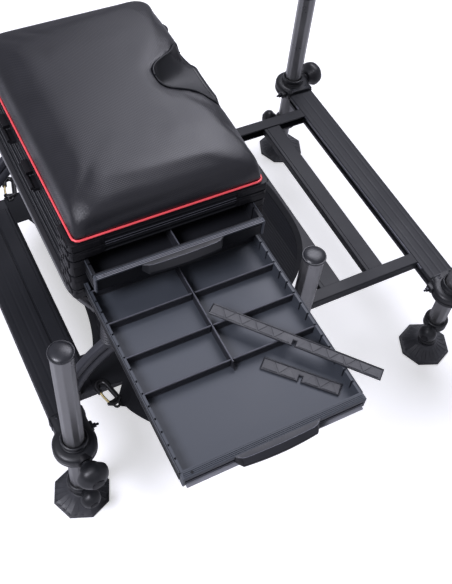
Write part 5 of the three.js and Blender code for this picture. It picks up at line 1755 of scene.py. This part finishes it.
class StageLook(bpy.types.PropertyGroup):
    """Camera and light"""

    lens: FloatProperty(
        name="Lens", description="Focal length of the camera in millimetres", default=52.8, min=10, max=300
    )
    yaw: FloatProperty(name="Yaw", description="Direction of the camera from +Y, in degrees", default=33.39982)
    pitch: FloatProperty(
        name="Pitch", description="Tilt of the camera above the horizon, in degrees", default=-54.55866
    )
    roll: FloatProperty(name="Roll", description="Roll of the camera, in degrees", default=7.75165)
    key_light: FloatProperty(
        name="Back light", description="Power of the large lamp behind and above", default=41.0, min=0, unit="POWER"
    )
    side_light: FloatProperty(
        name="Side light", description="Power of the lamp on the rear side", default=46.0, min=0, unit="POWER"
    )
    front_light: FloatProperty(
        name="Front light", description="Power of the low lamp in front", default=3.0, min=0, unit="POWER"
    )
    fill: FloatProperty(name="Fill", description="Strength of the surround's light on the object", default=0.16, min=0)
    shine: FloatProperty(name="Shine", description="Strength of the surround in reflections", default=0.45, min=0)
    floor_glow: FloatProperty(
        name="Floor glow", description="How much lighter the floor looks to the camera", default=0.51, min=0
    )


class SEATBOX_OT_stage(bpy.types.Operator):
    """Set the floor, the lamps and the camera"""

    bl_idname = "seatbox.stage"
    bl_label = "Stage"

    def execute(self, context):
        make_stage(context.scene.seatbox_stage)
        return {"FINISHED"}


class SEATBOX_OT_finishes(bpy.types.Operator):
    """Make the materials and the geometry node trees"""

    bl_idname = "seatbox.finishes"
    bl_label = "Finishes"

    def execute(self, context):
        finishes.update(make_finishes(context.scene.seatbox_look))
        trees.update(ribs=ribs_tree(), copies=copies_tree())
        return {"FINISHED"}


class SEATBOX_OT_box(bpy.types.Operator):
    """Make the five stacked sections of the box"""

    bl_idname = "seatbox.box"
    bl_label = "Box"

    def execute(self, context):
        make_box()
        return {"FINISHED"}


class SEATBOX_OT_seat(bpy.types.Operator):
    """Make the padded seat, its piping and its rest"""

    bl_idname = "seatbox.seat"
    bl_label = "Seat"

    def execute(self, context):
        look = context.scene.seatbox_look
        pad = make_pad(look)
        make_piping(look)
        make_rest(pad)
        return {"FINISHED"}


class SEATBOX_OT_drawers(bpy.types.Operator):
    """Make both drawers and their dividers"""

    bl_idname = "seatbox.drawers"
    bl_label = "Drawers"

    def execute(self, context):
        make_drawers()
        return {"FINISHED"}


class SEATBOX_OT_frame(bpy.types.Operator):
    """Make the beams, rails, arches and hoops"""

    bl_idname = "seatbox.frame"
    bl_label = "Frame"

    def execute(self, context):
        make_beams()
        make_rails()
        make_arches()
        make_hoops()
        return {"FINISHED"}


class SEATBOX_OT_net(bpy.types.Operator):
    """Make the slack net, its hems and its snap links"""

    bl_idname = "seatbox.net"
    bl_label = "Net"

    def execute(self, context):
        make_net()
        make_links()
        return {"FINISHED"}


class SEATBOX_OT_legs(bpy.types.Operator):
    """Make the six legs with their clamps, knobs and feet"""

    bl_idname = "seatbox.legs"
    bl_label = "Legs"

    def execute(self, context):
        for end in LEGS:
            make_leg(end)
            make_clamp(end)
            make_knob(end)
            make_foot(end)
        return {"FINISHED"}


OPERATORS = (
    SEATBOX_OT_stage,
    SEATBOX_OT_finishes,
    SEATBOX_OT_box,
    SEATBOX_OT_seat,
    SEATBOX_OT_drawers,
    SEATBOX_OT_frame,
    SEATBOX_OT_net,
    SEATBOX_OT_legs,
)


class SEATBOX_PT_panel(bpy.types.Panel):
    """Lists the settings and the steps that make the seat box"""

    bl_idname = "SEATBOX_PT_panel"
    bl_label = "Seat box"
    bl_space_type = "VIEW_3D"
    bl_region_type = "UI"
    bl_category = "Seat box"

    def draw(self, context):
        for group in (context.scene.seatbox_look, context.scene.seatbox_stage):
            for name in group.__annotations__:
                self.layout.prop(group, name)
        for operator in OPERATORS:
            self.layout.operator(operator.bl_idname)


CLASSES = (SeatLook, StageLook) + OPERATORS + (SEATBOX_PT_panel,)


def register():
    """Registers the add-on."""
    for each in CLASSES:
        bpy.utils.register_class(each)
    bpy.types.Scene.seatbox_look = PointerProperty(type=SeatLook)
    bpy.types.Scene.seatbox_stage = PointerProperty(type=StageLook)


def unregister():
    """Takes the add-on away again."""
    del bpy.types.Scene.seatbox_look
    del bpy.types.Scene.seatbox_stage
    for each in reversed(CLASSES):
        bpy.utils.unregister_class(each)


def main():
    """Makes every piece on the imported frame."""
    register()
    for operator in OPERATORS:
        group, name = operator.bl_idname.split(".")
        getattr(getattr(bpy.ops, group), name)()


if __name__ == "__main__":
    main()
